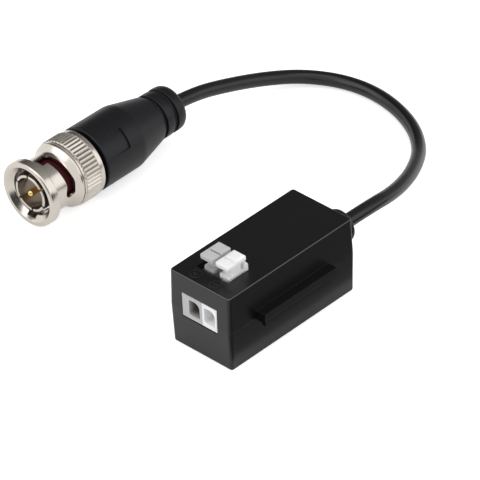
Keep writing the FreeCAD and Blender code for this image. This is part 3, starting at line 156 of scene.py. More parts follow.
# %% Turn an outline, or carry it along
def turned(outline, centre, axis="y", angles=128, swell=None, hollow=True):
    """A surface of revolution: first = r cos(angle), second = r sin(angle), along = w.

    Rows of the outline are (w, r), counted from the centre. angles is a number of even
    steps or the angles themselves, in degrees. swell(w, r, angle) gives a new radius.
    """
    if isinstance(angles, int):
        angles = np.arange(angles) * 360 / angles
    turn = np.radians(angles)[:, None]
    w, r = outline[None, :, 0], outline[None, :, 1] + 0 * turn
    if swell:
        r = swell(w, r, turn)
    points = laid_out(r * np.cos(turn), r * np.sin(turn), w, axis) + np.array(centre)
    return points, grid_faces(len(turn), len(outline), True, hollow)


def stacked(outline, levels):
    """An outline carried up: point(k, j) = outline_j - inset_k * normal_j at height_k.

    The normals of an outline drawn anticlockwise point outwards. Both ends are closed
    with one flat face.
    """
    run = np.roll(outline, -1, axis=0) - np.roll(outline, 1, axis=0)
    normal = np.c_[run[:, 1], -run[:, 0]] / np.linalg.norm(run, axis=1, keepdims=True)
    height, inset = levels[:, 0][:, None], levels[:, 1][:, None, None]
    ring = outline[None] - inset * normal[None]
    points = laid_out(ring[..., 0], ring[..., 1], height, "z")
    count = len(outline)
    ends = [list(range(count))[::-1], list(range(len(points) - count, len(points)))]
    return points, grid_faces(len(levels), count, False, True) + ends


def rounded_levels(low, high, edge, steps=4):
    """Levels of a block with round edges: height = low + e (1 - cos a), inset = e (1 - sin a)."""
    a = np.linspace(0, math.pi / 2, steps + 1)
    bottom = np.c_[low + edge * (1 - np.cos(a)), edge * (1 - np.sin(a))]
    top = np.c_[high - edge * (1 - np.cos(a)), edge * (1 - np.sin(a))][::-1]
    return np.vstack([bottom, top]) * MM


print("a block with round edges has", len(rounded_levels(0, 1, 0.1)), "levels")

# %% Make a piece of its surfaces
SAME_POINT = 1e-7


def piece_from(name, shells):
    """One object of closed surfaces, with its doubles merged and its faces turned outwards."""
    shape = bmesh.new()
    for points, faces in shells:
        shell = bpy.data.meshes.new(name)
        shell.from_pydata(points, [], faces)
        shape.from_mesh(shell)
        bpy.data.meshes.remove(shell)
    bmesh.ops.remove_doubles(shape, verts=shape.verts, dist=SAME_POINT)
    bmesh.ops.recalc_face_normals(shape, faces=shape.faces)
    mesh = bpy.data.meshes.new(name)
    shape.to_mesh(mesh)
    shape.free()
    return put_in_scene(name, mesh)


def modified(piece):
    """A new mesh of a piece as its modifiers show it."""
    bpy.context.view_layer.update()
    seen = piece.evaluated_get(bpy.context.evaluated_depsgraph_get())
    return bpy.data.meshes.new_from_object(seen)


def carve(piece, cutters, operation="DIFFERENCE"):
    """Cuts closed surfaces out of a piece, or joins them to it, and removes them."""
    for cutter in cutters:
        cut = piece.modifiers.new("cut", "BOOLEAN")
        cut.operation = operation
        cut.solver = "MANIFOLD"
        cut.object = cutter
    piece.data = modified(piece)
    piece.modifiers.clear()
    for cutter in cutters:
        bpy.data.objects.remove(cutter)
    print(piece.name, "after", len(cutters), operation.lower(), "faces:", len(piece.data.polygons))


print("points nearer than", SAME_POINT, "m become one")

# %% Shade a piece and put it on its body
SHARP = math.radians(35)
made_pieces = {}
print("edges over", round(math.degrees(SHARP)), "degrees stay sharp")


def finished(piece, body, slot, *replaced):
    """Shades a piece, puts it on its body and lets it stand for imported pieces."""
    piece.data.shade_smooth()
    piece.data.set_sharp_from_angle(angle=SHARP)
    even = piece.modifiers.new("even_normals", "WEIGHTED_NORMAL")
    even.keep_sharp = True
    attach(piece, body)
    if replaced:
        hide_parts(*replaced)
    made_pieces[piece] = slot
    print(piece.name, "faces:", len(piece.data.polygons))


# %% [markdown]
# ## The coupling nut
#
# The nut is turned from brass bar and nickel plated: a rim, a thin neck, a cone, a groove
# and a knurled band. Its outline is turned in 384 steps, eight for each of 48 ridges. The
# ridges could be 48 bars laid round the band, but a ripple of the radius keeps one closed
# skin. The two curved slots are cut out of the mesh: a cutter follows the helix, and its
# round ends come from a circle's formula.

# %% Turn the coupling nut
nut_low, nut_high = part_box("coupling_nut")
PLUG_AT = ((nut_low[0] + nut_high[0]) / 2, nut_low[1], (nut_low[2] + nut_high[2]) / 2)
NECK_RADIUS = 5.83
TEETH = 48
STEPS_A_TOOTH = 8
KNURL_ROOT = 6.97
KNURL_RISE = 0.28
KNURL_ENDS = (9.62, 13.57)
KNURL_RUNOUT = 0.12
OUTSIDE_BAND = 6.9
NUT_OUTLINE = [
    (0, 6.05, 0.08), (0, 7.1, 0.42), (2.05, 7.1, 0.2), (2.05, NECK_RADIUS, 0.14),
    (7.35, NECK_RADIUS, 0.5), (8.6, 6.95, 0.2), (8.93, 6.95, 0.04), (8.95, 6.78, 0.03),
    (9.08, 6.78, 0.03), (9.08, 7.06, 0.05), (9.5, 7.06, 0.06), (9.6, KNURL_ROOT, 0.02),
    (KNURL_ENDS[0], KNURL_ROOT, 0), (KNURL_ENDS[0] + KNURL_RUNOUT, KNURL_ROOT, 0),
    (KNURL_ENDS[1] - KNURL_RUNOUT, KNURL_ROOT, 0), (KNURL_ENDS[1], KNURL_ROOT, 0),
    (13.62, 7.08, 0.04), (14.68, 7.08, 0.16), (14.68, 6.1, 0.05), (14.6, 5.95, 0.02),
    (12.4, 5.95, 0.02), (12.4, 6.35, 0.02), (11.7, 6.35, 0.02), (11.7, 5.95, 0.02),
    (8.2, 5.95, 0.02), (8.2, 4.9, 0.02), (7.55, 4.9, 0.02), (7.55, 5.3, 0.02),
    (4.0, 5.3, 0.02), (4.0, 4.9, 0.02), (1.1, 4.9, 0.15),
]


def knurl(w, r, turn):
    """r = root + rise * (0.5 + 0.5 cos(48 turn))^0.5 inside the band, and fades at its ends."""
    start, end = np.array(KNURL_ENDS) * MM
    fade_in = np.clip((w - start) / (KNURL_RUNOUT * MM), 0, 1)
    fade_out = np.clip((end - w) / (KNURL_RUNOUT * MM), 0, 1)
    ridge = (0.5 + 0.5 * np.cos(TEETH * turn)) ** 0.5
    return r + np.where(r > OUTSIDE_BAND * MM, KNURL_RISE * MM * fade_in * fade_out * ridge, 0)


nut_skin = turned(soften(NUT_OUTLINE), PLUG_AT, "y", TEETH * STEPS_A_TOOTH, knurl)
coupling_nut = piece_from("nut_with_ramps", [nut_skin])
print("the nut is", round((nut_high[1] - nut_low[1]) / MM, 2), "mm long")

# %% Cut the two ramps and their entries
SLOT_HALF = 1.0
SLOT_START = (90.0, 5.65)
SLOT_END = (-1.0, 6.8)
SLOT_STEPS = 90
DETENT_BACK = 0.62
DETENT_RUN = 2.2
DETENT_WIDER = 0.18
WALL_RADII = (4.5, 7.0)
ENTRY_HALF = 1.15
ENTRY_ENDS = (3.5, 6.2)
CHANNEL_RADII = (3.0, 5.5)
CHANNEL_ENDS = (-1.0, 6.0)
CUTTER_CORNER = 0.02


def ramp_surface(turn_by):
    """A helical cutter: x runs along the neck, w = start + rise * x / length - detent * blend(x).

    Its half-width is sqrt(h^2 - (h - d)^2) where the distance d to an end is less than h.
    """
    sweep = math.radians(SLOT_START[0] - SLOT_END[0])
    length = sweep * NECK_RADIUS
    t = 0.5 - 0.5 * np.cos(np.linspace(0, math.pi, SLOT_STEPS))
    x = -SLOT_HALF + (length + 2 * SLOT_HALF) * t
    rise = (SLOT_END[1] - SLOT_START[1]) * np.clip(x / length, 0, 1)
    blend = np.clip((x - length + DETENT_RUN) / DETENT_RUN, 0, 1)
    blend = blend ** 2 * (3 - 2 * blend)
    w = SLOT_START[1] + rise - DETENT_BACK * blend
    near = np.clip(SLOT_HALF - np.minimum(x + SLOT_HALF, length + SLOT_HALF - x), 0, SLOT_HALF)
    half = np.sqrt(SLOT_HALF ** 2 - near ** 2) * (1 + DETENT_WIDER * blend)
    turn = math.radians(SLOT_START[0] + turn_by) - x / NECK_RADIUS
    across = np.stack([w - half, w + half, w + half, w - half], axis=1) * MM
    radius = np.repeat(WALL_RADII, 2)[None] * MM
    points = laid_out(radius * np.cos(turn)[:, None], radius * np.sin(turn)[:, None], across, "y")
    return points + np.array(PLUG_AT), grid_faces(len(x), 4, False, True)


def radial_block(angle, half, ends, radii):
    """A block that stands out from the plug's axis at an angle, in millimetres and degrees.

    ends are its front and rear along the plug. x = across turned by the angle, y = along.
    """
    outline = rectangle(-half, half, *ends, CUTTER_CORNER)
    points, faces = stacked(outline, np.array([(radius, 0) for radius in radii]) * MM)
    a = math.radians(angle)
    across, along, out = points.T
    turned_points = np.stack([out * math.cos(a) - across * math.sin(a), along,
                              out * math.sin(a) + across * math.cos(a)], axis=1)
    return turned_points + np.array(PLUG_AT), faces


nut_cutters = []
for turn_by in (0, 180):
    at = SLOT_START[0] + turn_by
    nut_cutters.append(piece_from("ramp", [ramp_surface(turn_by)]))
    nut_cutters.append(piece_from("entry", [radial_block(at, ENTRY_HALF, ENTRY_ENDS, WALL_RADII)]))
    nut_cutters.append(piece_from("channel", [radial_block(at, ENTRY_HALF, CHANNEL_ENDS, CHANNEL_RADII)]))
carve(coupling_nut, nut_cutters)
finished(coupling_nut, "nut", "nickel", "coupling_nut")

# %% [markdown]
# ## Inside the nut
#
# A spring sleeve with six slits grips the socket, a gold plated pin carries the signal,
# and a dark red ring behind the slits keeps water out. All three are round, so they could
# be Blender's tubes and cones, but one turned outline gives each its steps and its soft
# edges at once. Narrow blocks cut the slits, as a slitting saw does.

# %% Turn the sleeve and cut its slits
SLEEVE_OUTLINE = [
    (0.55, 3.45, 0.1), (0.55, 4.05, 0.2), (7.65, 4.05, 0.02), (7.65, 4.85, 0.02), (8.3, 4.85, 0.02),
    (8.3, 5.75, 0.02), (9.25, 5.75, 0.02), (9.25, 4.6, 0.02), (16.25, 4.6, 0.02), (16.25, 2.6, 0.02),
    (21.05, 2.6, 0.02), (21.05, 1.6, 0.02), (9.65, 1.6, 0.02), (9.65, 3.02, 0.02),
    (6.45, 3.02, 0.02), (6.45, 3.45, 0.02),
]
SLITS = 6
FIRST_SLIT = 36.0
SAW_HALF = 0.225
SLIT_ENDS = (-0.5, 4.85)
SLIT_RADII = (2.9, 4.6)
slit_angles = FIRST_SLIT + np.arange(SLITS) * 360 / SLITS
sleeve = piece_from("slit_sleeve", [turned(soften(SLEEVE_OUTLINE), PLUG_AT, "y", 192)])
carve(sleeve, [piece_from("slit", [radial_block(angle, SAW_HALF, SLIT_ENDS, SLIT_RADII)])
               for angle in slit_angles])
finished(sleeve, "case", "nickel", "connector_shell")

# %% Turn the pin and the gasket
PIN_RADIUS = 0.675
PIN_FRONT = 0.3
COLLAR_RADIUS = 1.0
COLLAR_ENDS = (9.65, 14.65)
ball = np.linspace(0, math.pi / 2, 10)
pin_nose = np.c_[PIN_FRONT + PIN_RADIUS * (1 - np.cos(ball)), PIN_RADIUS * np.sin(ball)]
pin_stem = [(COLLAR_ENDS[0], PIN_RADIUS), (COLLAR_ENDS[0], COLLAR_RADIUS),
            (COLLAR_ENDS[1], COLLAR_RADIUS), (COLLAR_ENDS[1], 0)]
pin = piece_from("signal_pin", [turned(np.vstack([pin_nose, pin_stem]) * MM, PLUG_AT, "y", 48, None, False)])
finished(pin, "case", "gold", "centre_pin")

GASKET_OUTLINE = [(4.87, 4.12, 0.2), (4.87, 4.8, 0.3), (7.62, 4.8, 0.2), (7.62, 4.12, 0.2)]
gasket = piece_from("seal_ring", [turned(soften(GASKET_OUTLINE), PLUG_AT, "y", 96)])
finished(gasket, "case", "gasket_red", "plug_gasket")

# %% [markdown]
# ## The boot and the gland
#
# Both are soft vinyl, moulded over the lead. The boot is a barrel, a cone and a tail with
# two grooves, turned from one outline. On one side it has a shallow thumb rest that gets
# deeper towards the back. That could be cut or sculpted, but here the radius is simply
# less by a depth that grows along the boot, so the skin stays one even grid.

# %% Mould the boot
BOOT_OUTLINE = [
    (13.55, 4.66, 0.05), (13.55, 5.6, 0.15), (15.68, 5.6, 0.05), (15.68, 7.05, 0.35), (18.1, 7.04, 0),
    (20.0, 7.03, 0), (22.4, 7.02, 0), (22.5, 7.02, 0), (26.15, 7.0, 0.6), (33.8, 5.09, 0.15),
    (33.8, 4.3, 0.2), (34.85, 4.3, 0.2), (34.85, 4.95, 0.18), (36.8, 4.95, 0.18), (36.8, 4.3, 0.2),
    (37.85, 4.3, 0.2), (37.85, 4.95, 0.18), (40.65, 4.95, 1.7), (40.65, 1.62, 0.1), (23.7, 1.62, 0.02),
    (23.7, 3.1, 0.02), (16.3, 3.1, 0.02), (16.3, 4.66, 0.02),
]
REST_ANGLES = (20.0, 58.0)
REST_ENDS = (18.1, 22.5)
REST_DEPTH = 0.36
REST_WALL = 0.8
REST_REAR_WALL = 0.1
OUTSIDE_BARREL = 6.5
ANGLE_STEP = 2.5


def thumb_rest(w, r, turn):
    """r = r - depth * (w - front) / length inside the rest, with a short wall at its borders."""
    front, rear = np.array(REST_ENDS) * MM
    low, high = np.radians(REST_ANGLES)
    wall = math.radians(REST_WALL)
    round_it = np.clip((turn - low) / wall, 0, 1) * np.clip((high - turn) / wall, 0, 1)
    along = np.clip((w - front) / (rear - front), 0, 1) * np.clip((rear - w) / (REST_REAR_WALL * MM), 0, 1)
    return r - np.where(r > OUTSIDE_BARREL * MM, REST_DEPTH * MM * round_it * along, 0)


boot_angles = np.unique(np.r_[np.arange(0, 360, ANGLE_STEP), REST_ANGLES[0] + REST_WALL,
                              REST_ANGLES[1], REST_ANGLES[1] - REST_WALL])
boot = piece_from("boot", [turned(soften(BOOT_OUTLINE), PLUG_AT, "y", boot_angles, thumb_rest)])
finished(boot, "case", "boot_black", "plug_boot")

# %% Mould the gland
case_low, case_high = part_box("upper_shell")
gland_low, gland_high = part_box("cable_gland")
GLAND_AT = (0.0, case_high[1], (gland_low[2] + gland_high[2]) / 2)
GLAND_OUTLINE = [
    (-3.1, 1.55, 0.02), (-3.1, 3.5, 0.1), (-1.7, 3.5, 0.02), (-1.7, 2.7, 0.02), (0.05, 2.7, 0.02),
    (0.05, 3.58, 0.12), (5.2, 3.58, 0.75), (5.2, 1.55, 0.1),
]
gland = piece_from("lead_gland", [turned(soften(GLAND_OUTLINE), GLAND_AT, "y", 96)])
finished(gland, "case", "boot_black", "cable_gland")

# %% [markdown]
# ## Moulded pieces with soft edges
#
# The case, the terminals and the levers already have their true shapes in the packed
# model, but a mould never gives a knife edge, and it is the thin bright line along an edge
# that makes plastic look real. They could be built again from outlines. It is simpler to
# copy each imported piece, join its triangles into whole faces, and let a bevel round the
# edges that are left.

# %% Soften the case and the terminals
PACKED_SAME_POINT = 2e-6
FLAT = math.radians(1.0)
CASE_EDGE = 0.13
TERMINAL_EDGE = 0.08


def soft_copy(node, name, width):
    """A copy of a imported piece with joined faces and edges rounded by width, in millimetres."""
    shape = bmesh.new()
    shape.from_mesh(nodes[node].data)
    bmesh.ops.remove_doubles(shape, verts=shape.verts, dist=PACKED_SAME_POINT)
    bmesh.ops.dissolve_limit(shape, angle_limit=FLAT, verts=shape.verts, edges=shape.edges)
    mesh = bpy.data.meshes.new(name)
    shape.to_mesh(mesh)
    shape.free()
    piece = put_in_scene(name, mesh)
    rounding = piece.modifiers.new("soft_edges", "BEVEL")
    rounding.width = width * MM
    rounding.segments = 3
    rounding.limit_method = "ANGLE"
    rounding.angle_limit = SHARP
    rounding.use_clamp_overlap = True
    piece.data = modified(piece)
    piece.modifiers.clear()
    return piece


finished(soft_copy("lower_shell", "case_base", CASE_EDGE), "case", "case_black", "lower_shell")
finished(soft_copy("upper_shell", "case_cover", CASE_EDGE), "case", "case_black", "upper_shell")
for side in ("grey", "white"):
    node = "terminal_body_" + side
    finished(soft_copy(node, "terminal_" + side, TERMINAL_EDGE), "case", "terminal_" + side, node)

# %% [markdown]
# ## The levers
#
# A finger presses each lever's flat head, and a narrow groove across the head gives it
# grip. A bump in the material could stand for the groove, but it would not darken as a
# real one does. So a crisp block is joined to the head of the softened copy, and a second
# block cuts the groove, deeper on the grey lever, where it shows.

# %% Shape the heads and groove them
LEVER_EDGE = 0.06
HEAD_HALF = 1.6
HEAD_DEPTHS = (3.9, 9.1)
HEAD_THICKNESS = 0.95
HEAD_CORNER = 0.28
HEAD_EDGE = 0.1
PAD_RISE = 0.25
GROOVE_X = (-1.15, 1.9)
GROOVE_DEPTHS = (6.02, 6.36)
GROOVE_FLOOR = {"grey": 0.45, "white": 0.2}
GROOVE_CORNER = 0.12
GROOVE_EDGE = 0.08
CUT_ABOVE = 0.3


def lever_block(centre_x, x_ends, depths, low_z, high_z, corner, edge):
    """A block with round edges: x from the lever's middle, depth from the case's front."""
    front_y = case_low[1] / MM
    outline = rectangle(centre_x + x_ends[0], centre_x + x_ends[1], front_y + depths[0],
                        front_y + depths[1], corner)
    return stacked(outline, rounded_levels(low_z, high_z, edge))


for side in ("grey", "white"):
    node = "lever_" + side
    low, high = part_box(node)
    centre_x = (low[0] + high[0]) / 2 / MM
    top_z = high[2] / MM
    head_z = top_z - PAD_RISE
    head = lever_block(centre_x, (-HEAD_HALF, HEAD_HALF), HEAD_DEPTHS,
                       head_z - HEAD_THICKNESS, head_z, HEAD_CORNER, HEAD_EDGE)
    groove = lever_block(centre_x, GROOVE_X, GROOVE_DEPTHS,
                         head_z - GROOVE_FLOOR[side], top_z + CUT_ABOVE, GROOVE_CORNER, GROOVE_EDGE)
    lever = soft_copy(node, "press_lever_" + side, LEVER_EDGE)
    carve(lever, [piece_from("head", [head])], "UNION")
    carve(lever, [piece_from("groove", [groove])])
    finished(lever, "lever_%s_body" % side, node, node)

# %% [markdown]
# ## The marks on the roof
#
# Beside the terminals the roof has two rings with a plus and a minus sign, so that the
# pair is wired the right way round. Paint or bump could draw them, but on the real case
# they stand 0.12 mm proud and only catch the light, so they are small raised shapes here.

# %% Raise the signs
SIGN_RISE = 0.12
SIGN_ROOT = -0.1
SIGN_EDGE = 0.05
RING_RADII = (1.07, 1.27)
BAR_LENGTH = 1.35
BAR_HALF = 0.12
BAR_CORNER = 0.06
ROOF_Z = case_high[2]
SIGNS = {"plus_sign": (-2.6, 2.3, (0, 90)), "minus_sign": (2.5, 2.3, (0,))}


def sign_bar(at, angle):
    """A low bar with round edges, turned about the sign's centre: point = bar * turn + centre."""
    outline = rectangle(-BAR_LENGTH / 2, BAR_LENGTH / 2, -BAR_HALF, BAR_HALF, BAR_CORNER)
    points, faces = stacked(outline, rounded_levels(SIGN_ROOT, SIGN_RISE, SIGN_EDGE))
    a = math.radians(angle)
    turn = np.array([(math.cos(a), math.sin(a), 0), (-math.sin(a), math.cos(a), 0), (0, 0, 1)])
    return points @ turn + np.array(at), faces


ring_outline = soften([(SIGN_ROOT, RING_RADII[0], 0.01), (SIGN_RISE, RING_RADII[0], SIGN_EDGE),
                       (SIGN_RISE, RING_RADII[1], SIGN_EDGE), (SIGN_ROOT, RING_RADII[1], 0.01)])
for name, (x, depth, angles) in SIGNS.items():
    at = (x * MM, case_low[1] + depth * MM, ROOF_Z)
    shells = [turned(ring_outline, at, "z", 72)] + [sign_bar(at, angle) for angle in angles]
    finished(piece_from(name, shells), "case", "case_black")

# %% [markdown]
# ## The lead
#
# The lead is a soft coaxial cable, 3 mm thick. It could be a mesh tube, but a NURBS curve
# with few control points gives the even, slow bends of such a cable, and its bevel gives
# the thickness. It leaves the gland level, sinks to the floor, turns back on it and climbs
# into the boot, as in the photograph.

# %% Lay the lead
CABLE_RADIUS = 0.0015
ROUTE = np.array([
    (0.0, 22.6, 9.0), (0.0, 30.8, 8.9), (-1.5, 38.3, 6.9), (-4.2, 45.6, 5.0),
    (-7.8, 52.3, 3.3), (-12.3, 58.6, 1.8), (-18.4, 63.6, 1.5), (-26.0, 66.7, 1.5),
    (-33.9, 67.8, 1.5), (-41.5, 66.4, 1.5), (-47.9, 62.0, 2.0), (-51.5, 55.3, 3.3),
    (-53.5, 46.7, 5.4), (-55.2, 38.0, 6.95), (-55.4, 31.9, 7.25),
]) / 1000.0


def lay_cable(name, route, radius):
    """A smooth tube along a third-order NURBS curve with the route's points as its control points."""
    curve = bpy.data.curves.new(name, "CURVE")
    curve.dimensions = "3D"
    curve.resolution_u = 14
    curve.bevel_depth = 1.0
    curve.bevel_resolution = 8
    spline = curve.splines.new("NURBS")
    spline.points.add(len(route) - 1)
    spline.points.foreach_set("co", np.c_[route, np.ones(len(route))].ravel())
    spline.points.foreach_set("radius", np.full(len(route), radius))
    spline.order_u = 3
    spline.use_endpoint_u = True
    return put_in_scene(name, curve)


lead = lay_cable("lead", ROUTE, CABLE_RADIUS)
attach(lead, "case")
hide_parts("signal_cable")
print("the lead has", len(ROUTE), "control points")

# %% [markdown]
# ## The studio
#
# The picture has a pure white ground. Strong lamps could burn the floor out to white, but
# they would burn out the pale levers as well. So the floor and the world are white to the
# camera, and partly so to reflections, and the lamps stay at a plain level, at which a
# colour renders about as it is written.

# %% Build materials from nodes
MIX_FIRST, MIX_SECOND, MIX_RESULT = 6, 7, 2


def new_material(name):
    """An empty node material, and its output's node tree."""
    material = bpy.data.materials.new(name)
    material.use_nodes = True
    material.node_tree.nodes.clear()
    return material, material.node_tree


def add_node(tree, kind, **settings):
    """Adds one shader node and sets its properties and, by name, its inputs."""
    made = tree.nodes.new(kind)
    for key, value in settings.items():
        if hasattr(made, key) and key not in made.inputs:
            setattr(made, key, value)
        else:
            made.inputs[key].default_value = value
    return made


def white_to_lens(tree, mirrored=1.0):
    """1 for rays from the camera or through glass, a share for mirrored rays, otherwise 0."""
    path = add_node(tree, "ShaderNodeLightPath")
    first = add_node(tree, "ShaderNodeMath", operation="MAXIMUM")
    second = add_node(tree, "ShaderNodeMath", operation="MAXIMUM")
    share = add_node(tree, "ShaderNodeMath", operation="MULTIPLY")
    share.inputs[1].default_value = mirrored
    tree.links.new(path.outputs["Is Glossy Ray"], share.inputs[0])
    tree.links.new(path.outputs["Is Camera Ray"], first.inputs[0])
    tree.links.new(share.outputs[0], first.inputs[1])
    tree.links.new(first.outputs[0], second.inputs[0])
    tree.links.new(path.outputs["Is Transmission Ray"], second.inputs[1])
    return second.outputs[0]


print("a Mix node reads its two colours from inputs", MIX_FIRST, "and", MIX_SECOND)

# %% Lay the floor
FLOOR_HALF = 3
FLOOR_COLOUR = (0.80, 0.80, 0.80, 1.0)
FLOOR_LIFT = 0.60
MIRRORED_LIFT = 0.45


def flat_sheet(name, half_width, half_height):
    """A flat rectangle about its own middle, facing +Z."""
    w, h = half_width, half_height
    mesh = bpy.data.meshes.new(name)
    mesh.from_pydata([(-w, -h, 0), (w, -h, 0), (w, h, 0), (-w, h, 0)], [], [(0, 1, 2, 3)])
    return put_in_scene(name, mesh)


floor = flat_sheet("floor", FLOOR_HALF, FLOOR_HALF)
floor_material, tree = new_material("white_floor")
diffuse = add_node(tree, "ShaderNodeBsdfDiffuse", Color=FLOOR_COLOUR)
lift = add_node(tree, "ShaderNodeEmission")
scale = add_node(tree, "ShaderNodeMath", operation="MULTIPLY")
scale.inputs[1].default_value = FLOOR_LIFT
total = add_node(tree, "ShaderNodeAddShader")
out = add_node(tree, "ShaderNodeOutputMaterial")
tree.links.new(white_to_lens(tree, MIRRORED_LIFT), scale.inputs[0])
tree.links.new(scale.outputs[0], lift.inputs["Strength"])
tree.links.new(diffuse.outputs[0], total.inputs[0])
tree.links.new(lift.outputs[0], total.inputs[1])
tree.links.new(total.outputs[0], out.inputs["Surface"])
floor.data.materials.append(floor_material)
print("floor:", 2 * FLOOR_HALF, "m square")

# %% Light the world
WORLD_LIGHT = 0.64
PAPER_LIGHT = 1.16

world = bpy.data.worlds.new("white_room")
bpy.context.scene.world = world
world.use_nodes = True
tree = world.node_tree
tree.nodes.clear()
room = add_node(tree, "ShaderNodeBackground", Color=(WORLD_LIGHT, WORLD_LIGHT, WORLD_LIGHT, 1.0))
paper = add_node(tree, "ShaderNodeBackground", Color=(PAPER_LIGHT, PAPER_LIGHT, PAPER_LIGHT, 1.0))
choose = add_node(tree, "ShaderNodeMixShader")
out = add_node(tree, "ShaderNodeOutputWorld")
tree.links.new(white_to_lens(tree), choose.inputs[0])
tree.links.new(room.outputs[0], choose.inputs[1])
tree.links.new(paper.outputs[0], choose.inputs[2])
tree.links.new(choose.outputs[0], out.inputs["Surface"])
bpy.context.scene.view_settings.view_transform = "Standard"
print("world light:", WORLD_LIGHT, "and white paper:", PAPER_LIGHT)

# %% [markdown]
# ## Lamps and cards
#
# Three large, near lamps give soft light. Black plastic and nickel show mostly what they
# mirror, so a photographer hangs cards round them. A lamp could be shaped to do the same,
# but a card that only reflections see leaves the rest of the light alone. The shaded one
# darkens the roof, the bright one stands in for the right lamp, which is hidden from
# mirrored rays, the dim one lies by the case's side, and two black ones face the plug.

# %% Hang the lamps
CENTRE = Vector((-0.027, 0.02, 0.01))


def aim(piece, place, target):
    """Puts a lamp or card at a place with its -Z side towards a target."""
    piece.location = place
    piece.rotation_euler = (Vector(target) - Vector(place)).to_track_quat("-Z", "Y").to_euler()


def soft_lamp(name, place, size, power):
    """A square area lamp that faces the object: large and near means soft."""
    lamp = bpy.data.lights.new(name, "AREA")
    lamp.shape = "SQUARE"
    lamp.size = size
    lamp.energy = power
    made = put_in_scene(name, lamp)
    aim(made, place, CENTRE)
    print(name, "size", size, "m, power", power, "W")
    return made


soft_lamp("front_lamp", (-0.55, -0.95, 0.75), 1.3, 6.4)
soft_lamp("top_lamp", (0.15, 0.1, 1.2), 1.2, 2.9)
right_lamp = soft_lamp("right_lamp", (0.85, 0.45, 0.52), 1.3, 6.2)
right_lamp.visible_glossy = False

# %% Hang the cards
PLUG_MOUTH = (-0.0595, -0.0082, 0.004)


def card_finish(name, left, right, reach):
    """An emission that runs evenly from right to left as a card's own x goes from -reach to reach."""
    material, tree = new_material(name)
    place = add_node(tree, "ShaderNodeTexCoord")
    split = add_node(tree, "ShaderNodeSeparateXYZ")
    ramp = add_node(tree, "ShaderNodeMapRange")
    ramp.inputs["From Min"].default_value = -reach
    ramp.inputs["From Max"].default_value = reach
    ramp.inputs["To Min"].default_value = right
    ramp.inputs["To Max"].default_value = left
    glow = add_node(tree, "ShaderNodeEmission")
    out = add_node(tree, "ShaderNodeOutputMaterial")
    tree.links.new(place.outputs["Object"], split.inputs[0])
    tree.links.new(split.outputs["X"], ramp.inputs["Value"])
    tree.links.new(ramp.outputs[0], glow.inputs["Strength"])
    tree.links.new(glow.outputs[0], out.inputs["Surface"])
    return material


def hang_card(name, place, width, height, material, target=CENTRE):
    """A card that only reflections see."""
    card = flat_sheet(name, width / 2, height / 2)
    aim(card, place, target)
    card.visible_camera = False
    card.visible_diffuse = False
    card.visible_shadow = False
    card.visible_transmission = False
    card.data.materials.append(material)
    print(name, width, "by", height, "m")


shaded = card_finish("shaded_card", 0.08, 0.46, 0.7)
black = card_finish("black_card", 0.03, 0.03, 0.05)
bright = card_finish("bright_card", 1.5, 1.5, 0.05)
dim = card_finish("dim_card", 0.14, 0.24, 0.05)
hang_card("back_card", (-0.28, 0.62, 0.66), 2.1, 1.5, shaded)
hang_card("right_card", (0.85, 0.45, 0.52), 1.0, 0.8, bright)
hang_card("side_card", (0.055, 0.03, 0.0004), 0.09, 0.12, dim, (0.055, 0.03, -1.0))
hang_card("mouth_card", (-0.0476, -0.0349, 0.0112), 0.030, 0.0215, black, PLUG_MOUTH)
hang_card("entry_card", (-0.0946, -0.0458, 0.0349), 0.030, 0.019, black, PLUG_MOUTH)

# %% [markdown]
# ## Finishes
#
# Every finish is built from nodes that read Object coordinates, which are metres here, so
# the grain has its real size. An image could hold the same grain, but nodes need no
# picture and stay sharp from near. Moulded plastic gets a fine spark-eroded texture, nickel
# gets faint turning lines, and the lead's jacket gets a slight orange peel. Deep in the
# terminals, shade is painted darker on the grey one and light is painted lighter on the white
# one, and a painted highlight lightens the case's level edges.

# %% Paint light and shade into a finish by depth and by edge
# painted highlight on level edges: where it starts, where it is full, and how much a level edge counts
EDGE_STARTS = 0.88
EDGE_IS_FULL = 0.74
LEVEL_GAIN = 1.4


def paint_light_in_holes(tree, place, colour, painted_hole_light):
    """Paints the light and shade of a deep hole: mixes a colour towards a darker or lighter one from one
    depth behind the front to the next.
    """
    if not painted_hole_light:
        return colour
    start, end, share, painted_hole_colour = painted_hole_light
    split = add_node(tree, "ShaderNodeSeparateXYZ")
    fade = add_node(tree, "ShaderNodeMapRange")
    fade.inputs["From Min"].default_value = case_low[1] + start * MM
    fade.inputs["From Max"].default_value = case_low[1] + end * MM
    fade.inputs["To Max"].default_value = share
    mix = add_node(tree, "ShaderNodeMix", data_type="RGBA")
    mix.inputs[MIX_SECOND].default_value = (*painted_hole_colour, 1.0)
    tree.links.new(place.outputs["Object"], split.inputs[0])
    tree.links.new(split.outputs["Y"], fade.inputs["Value"])
    tree.links.new(fade.outputs[0], mix.inputs[0])
    tree.links.new(colour, mix.inputs[MIX_FIRST])
    return mix.outputs[MIX_RESULT]


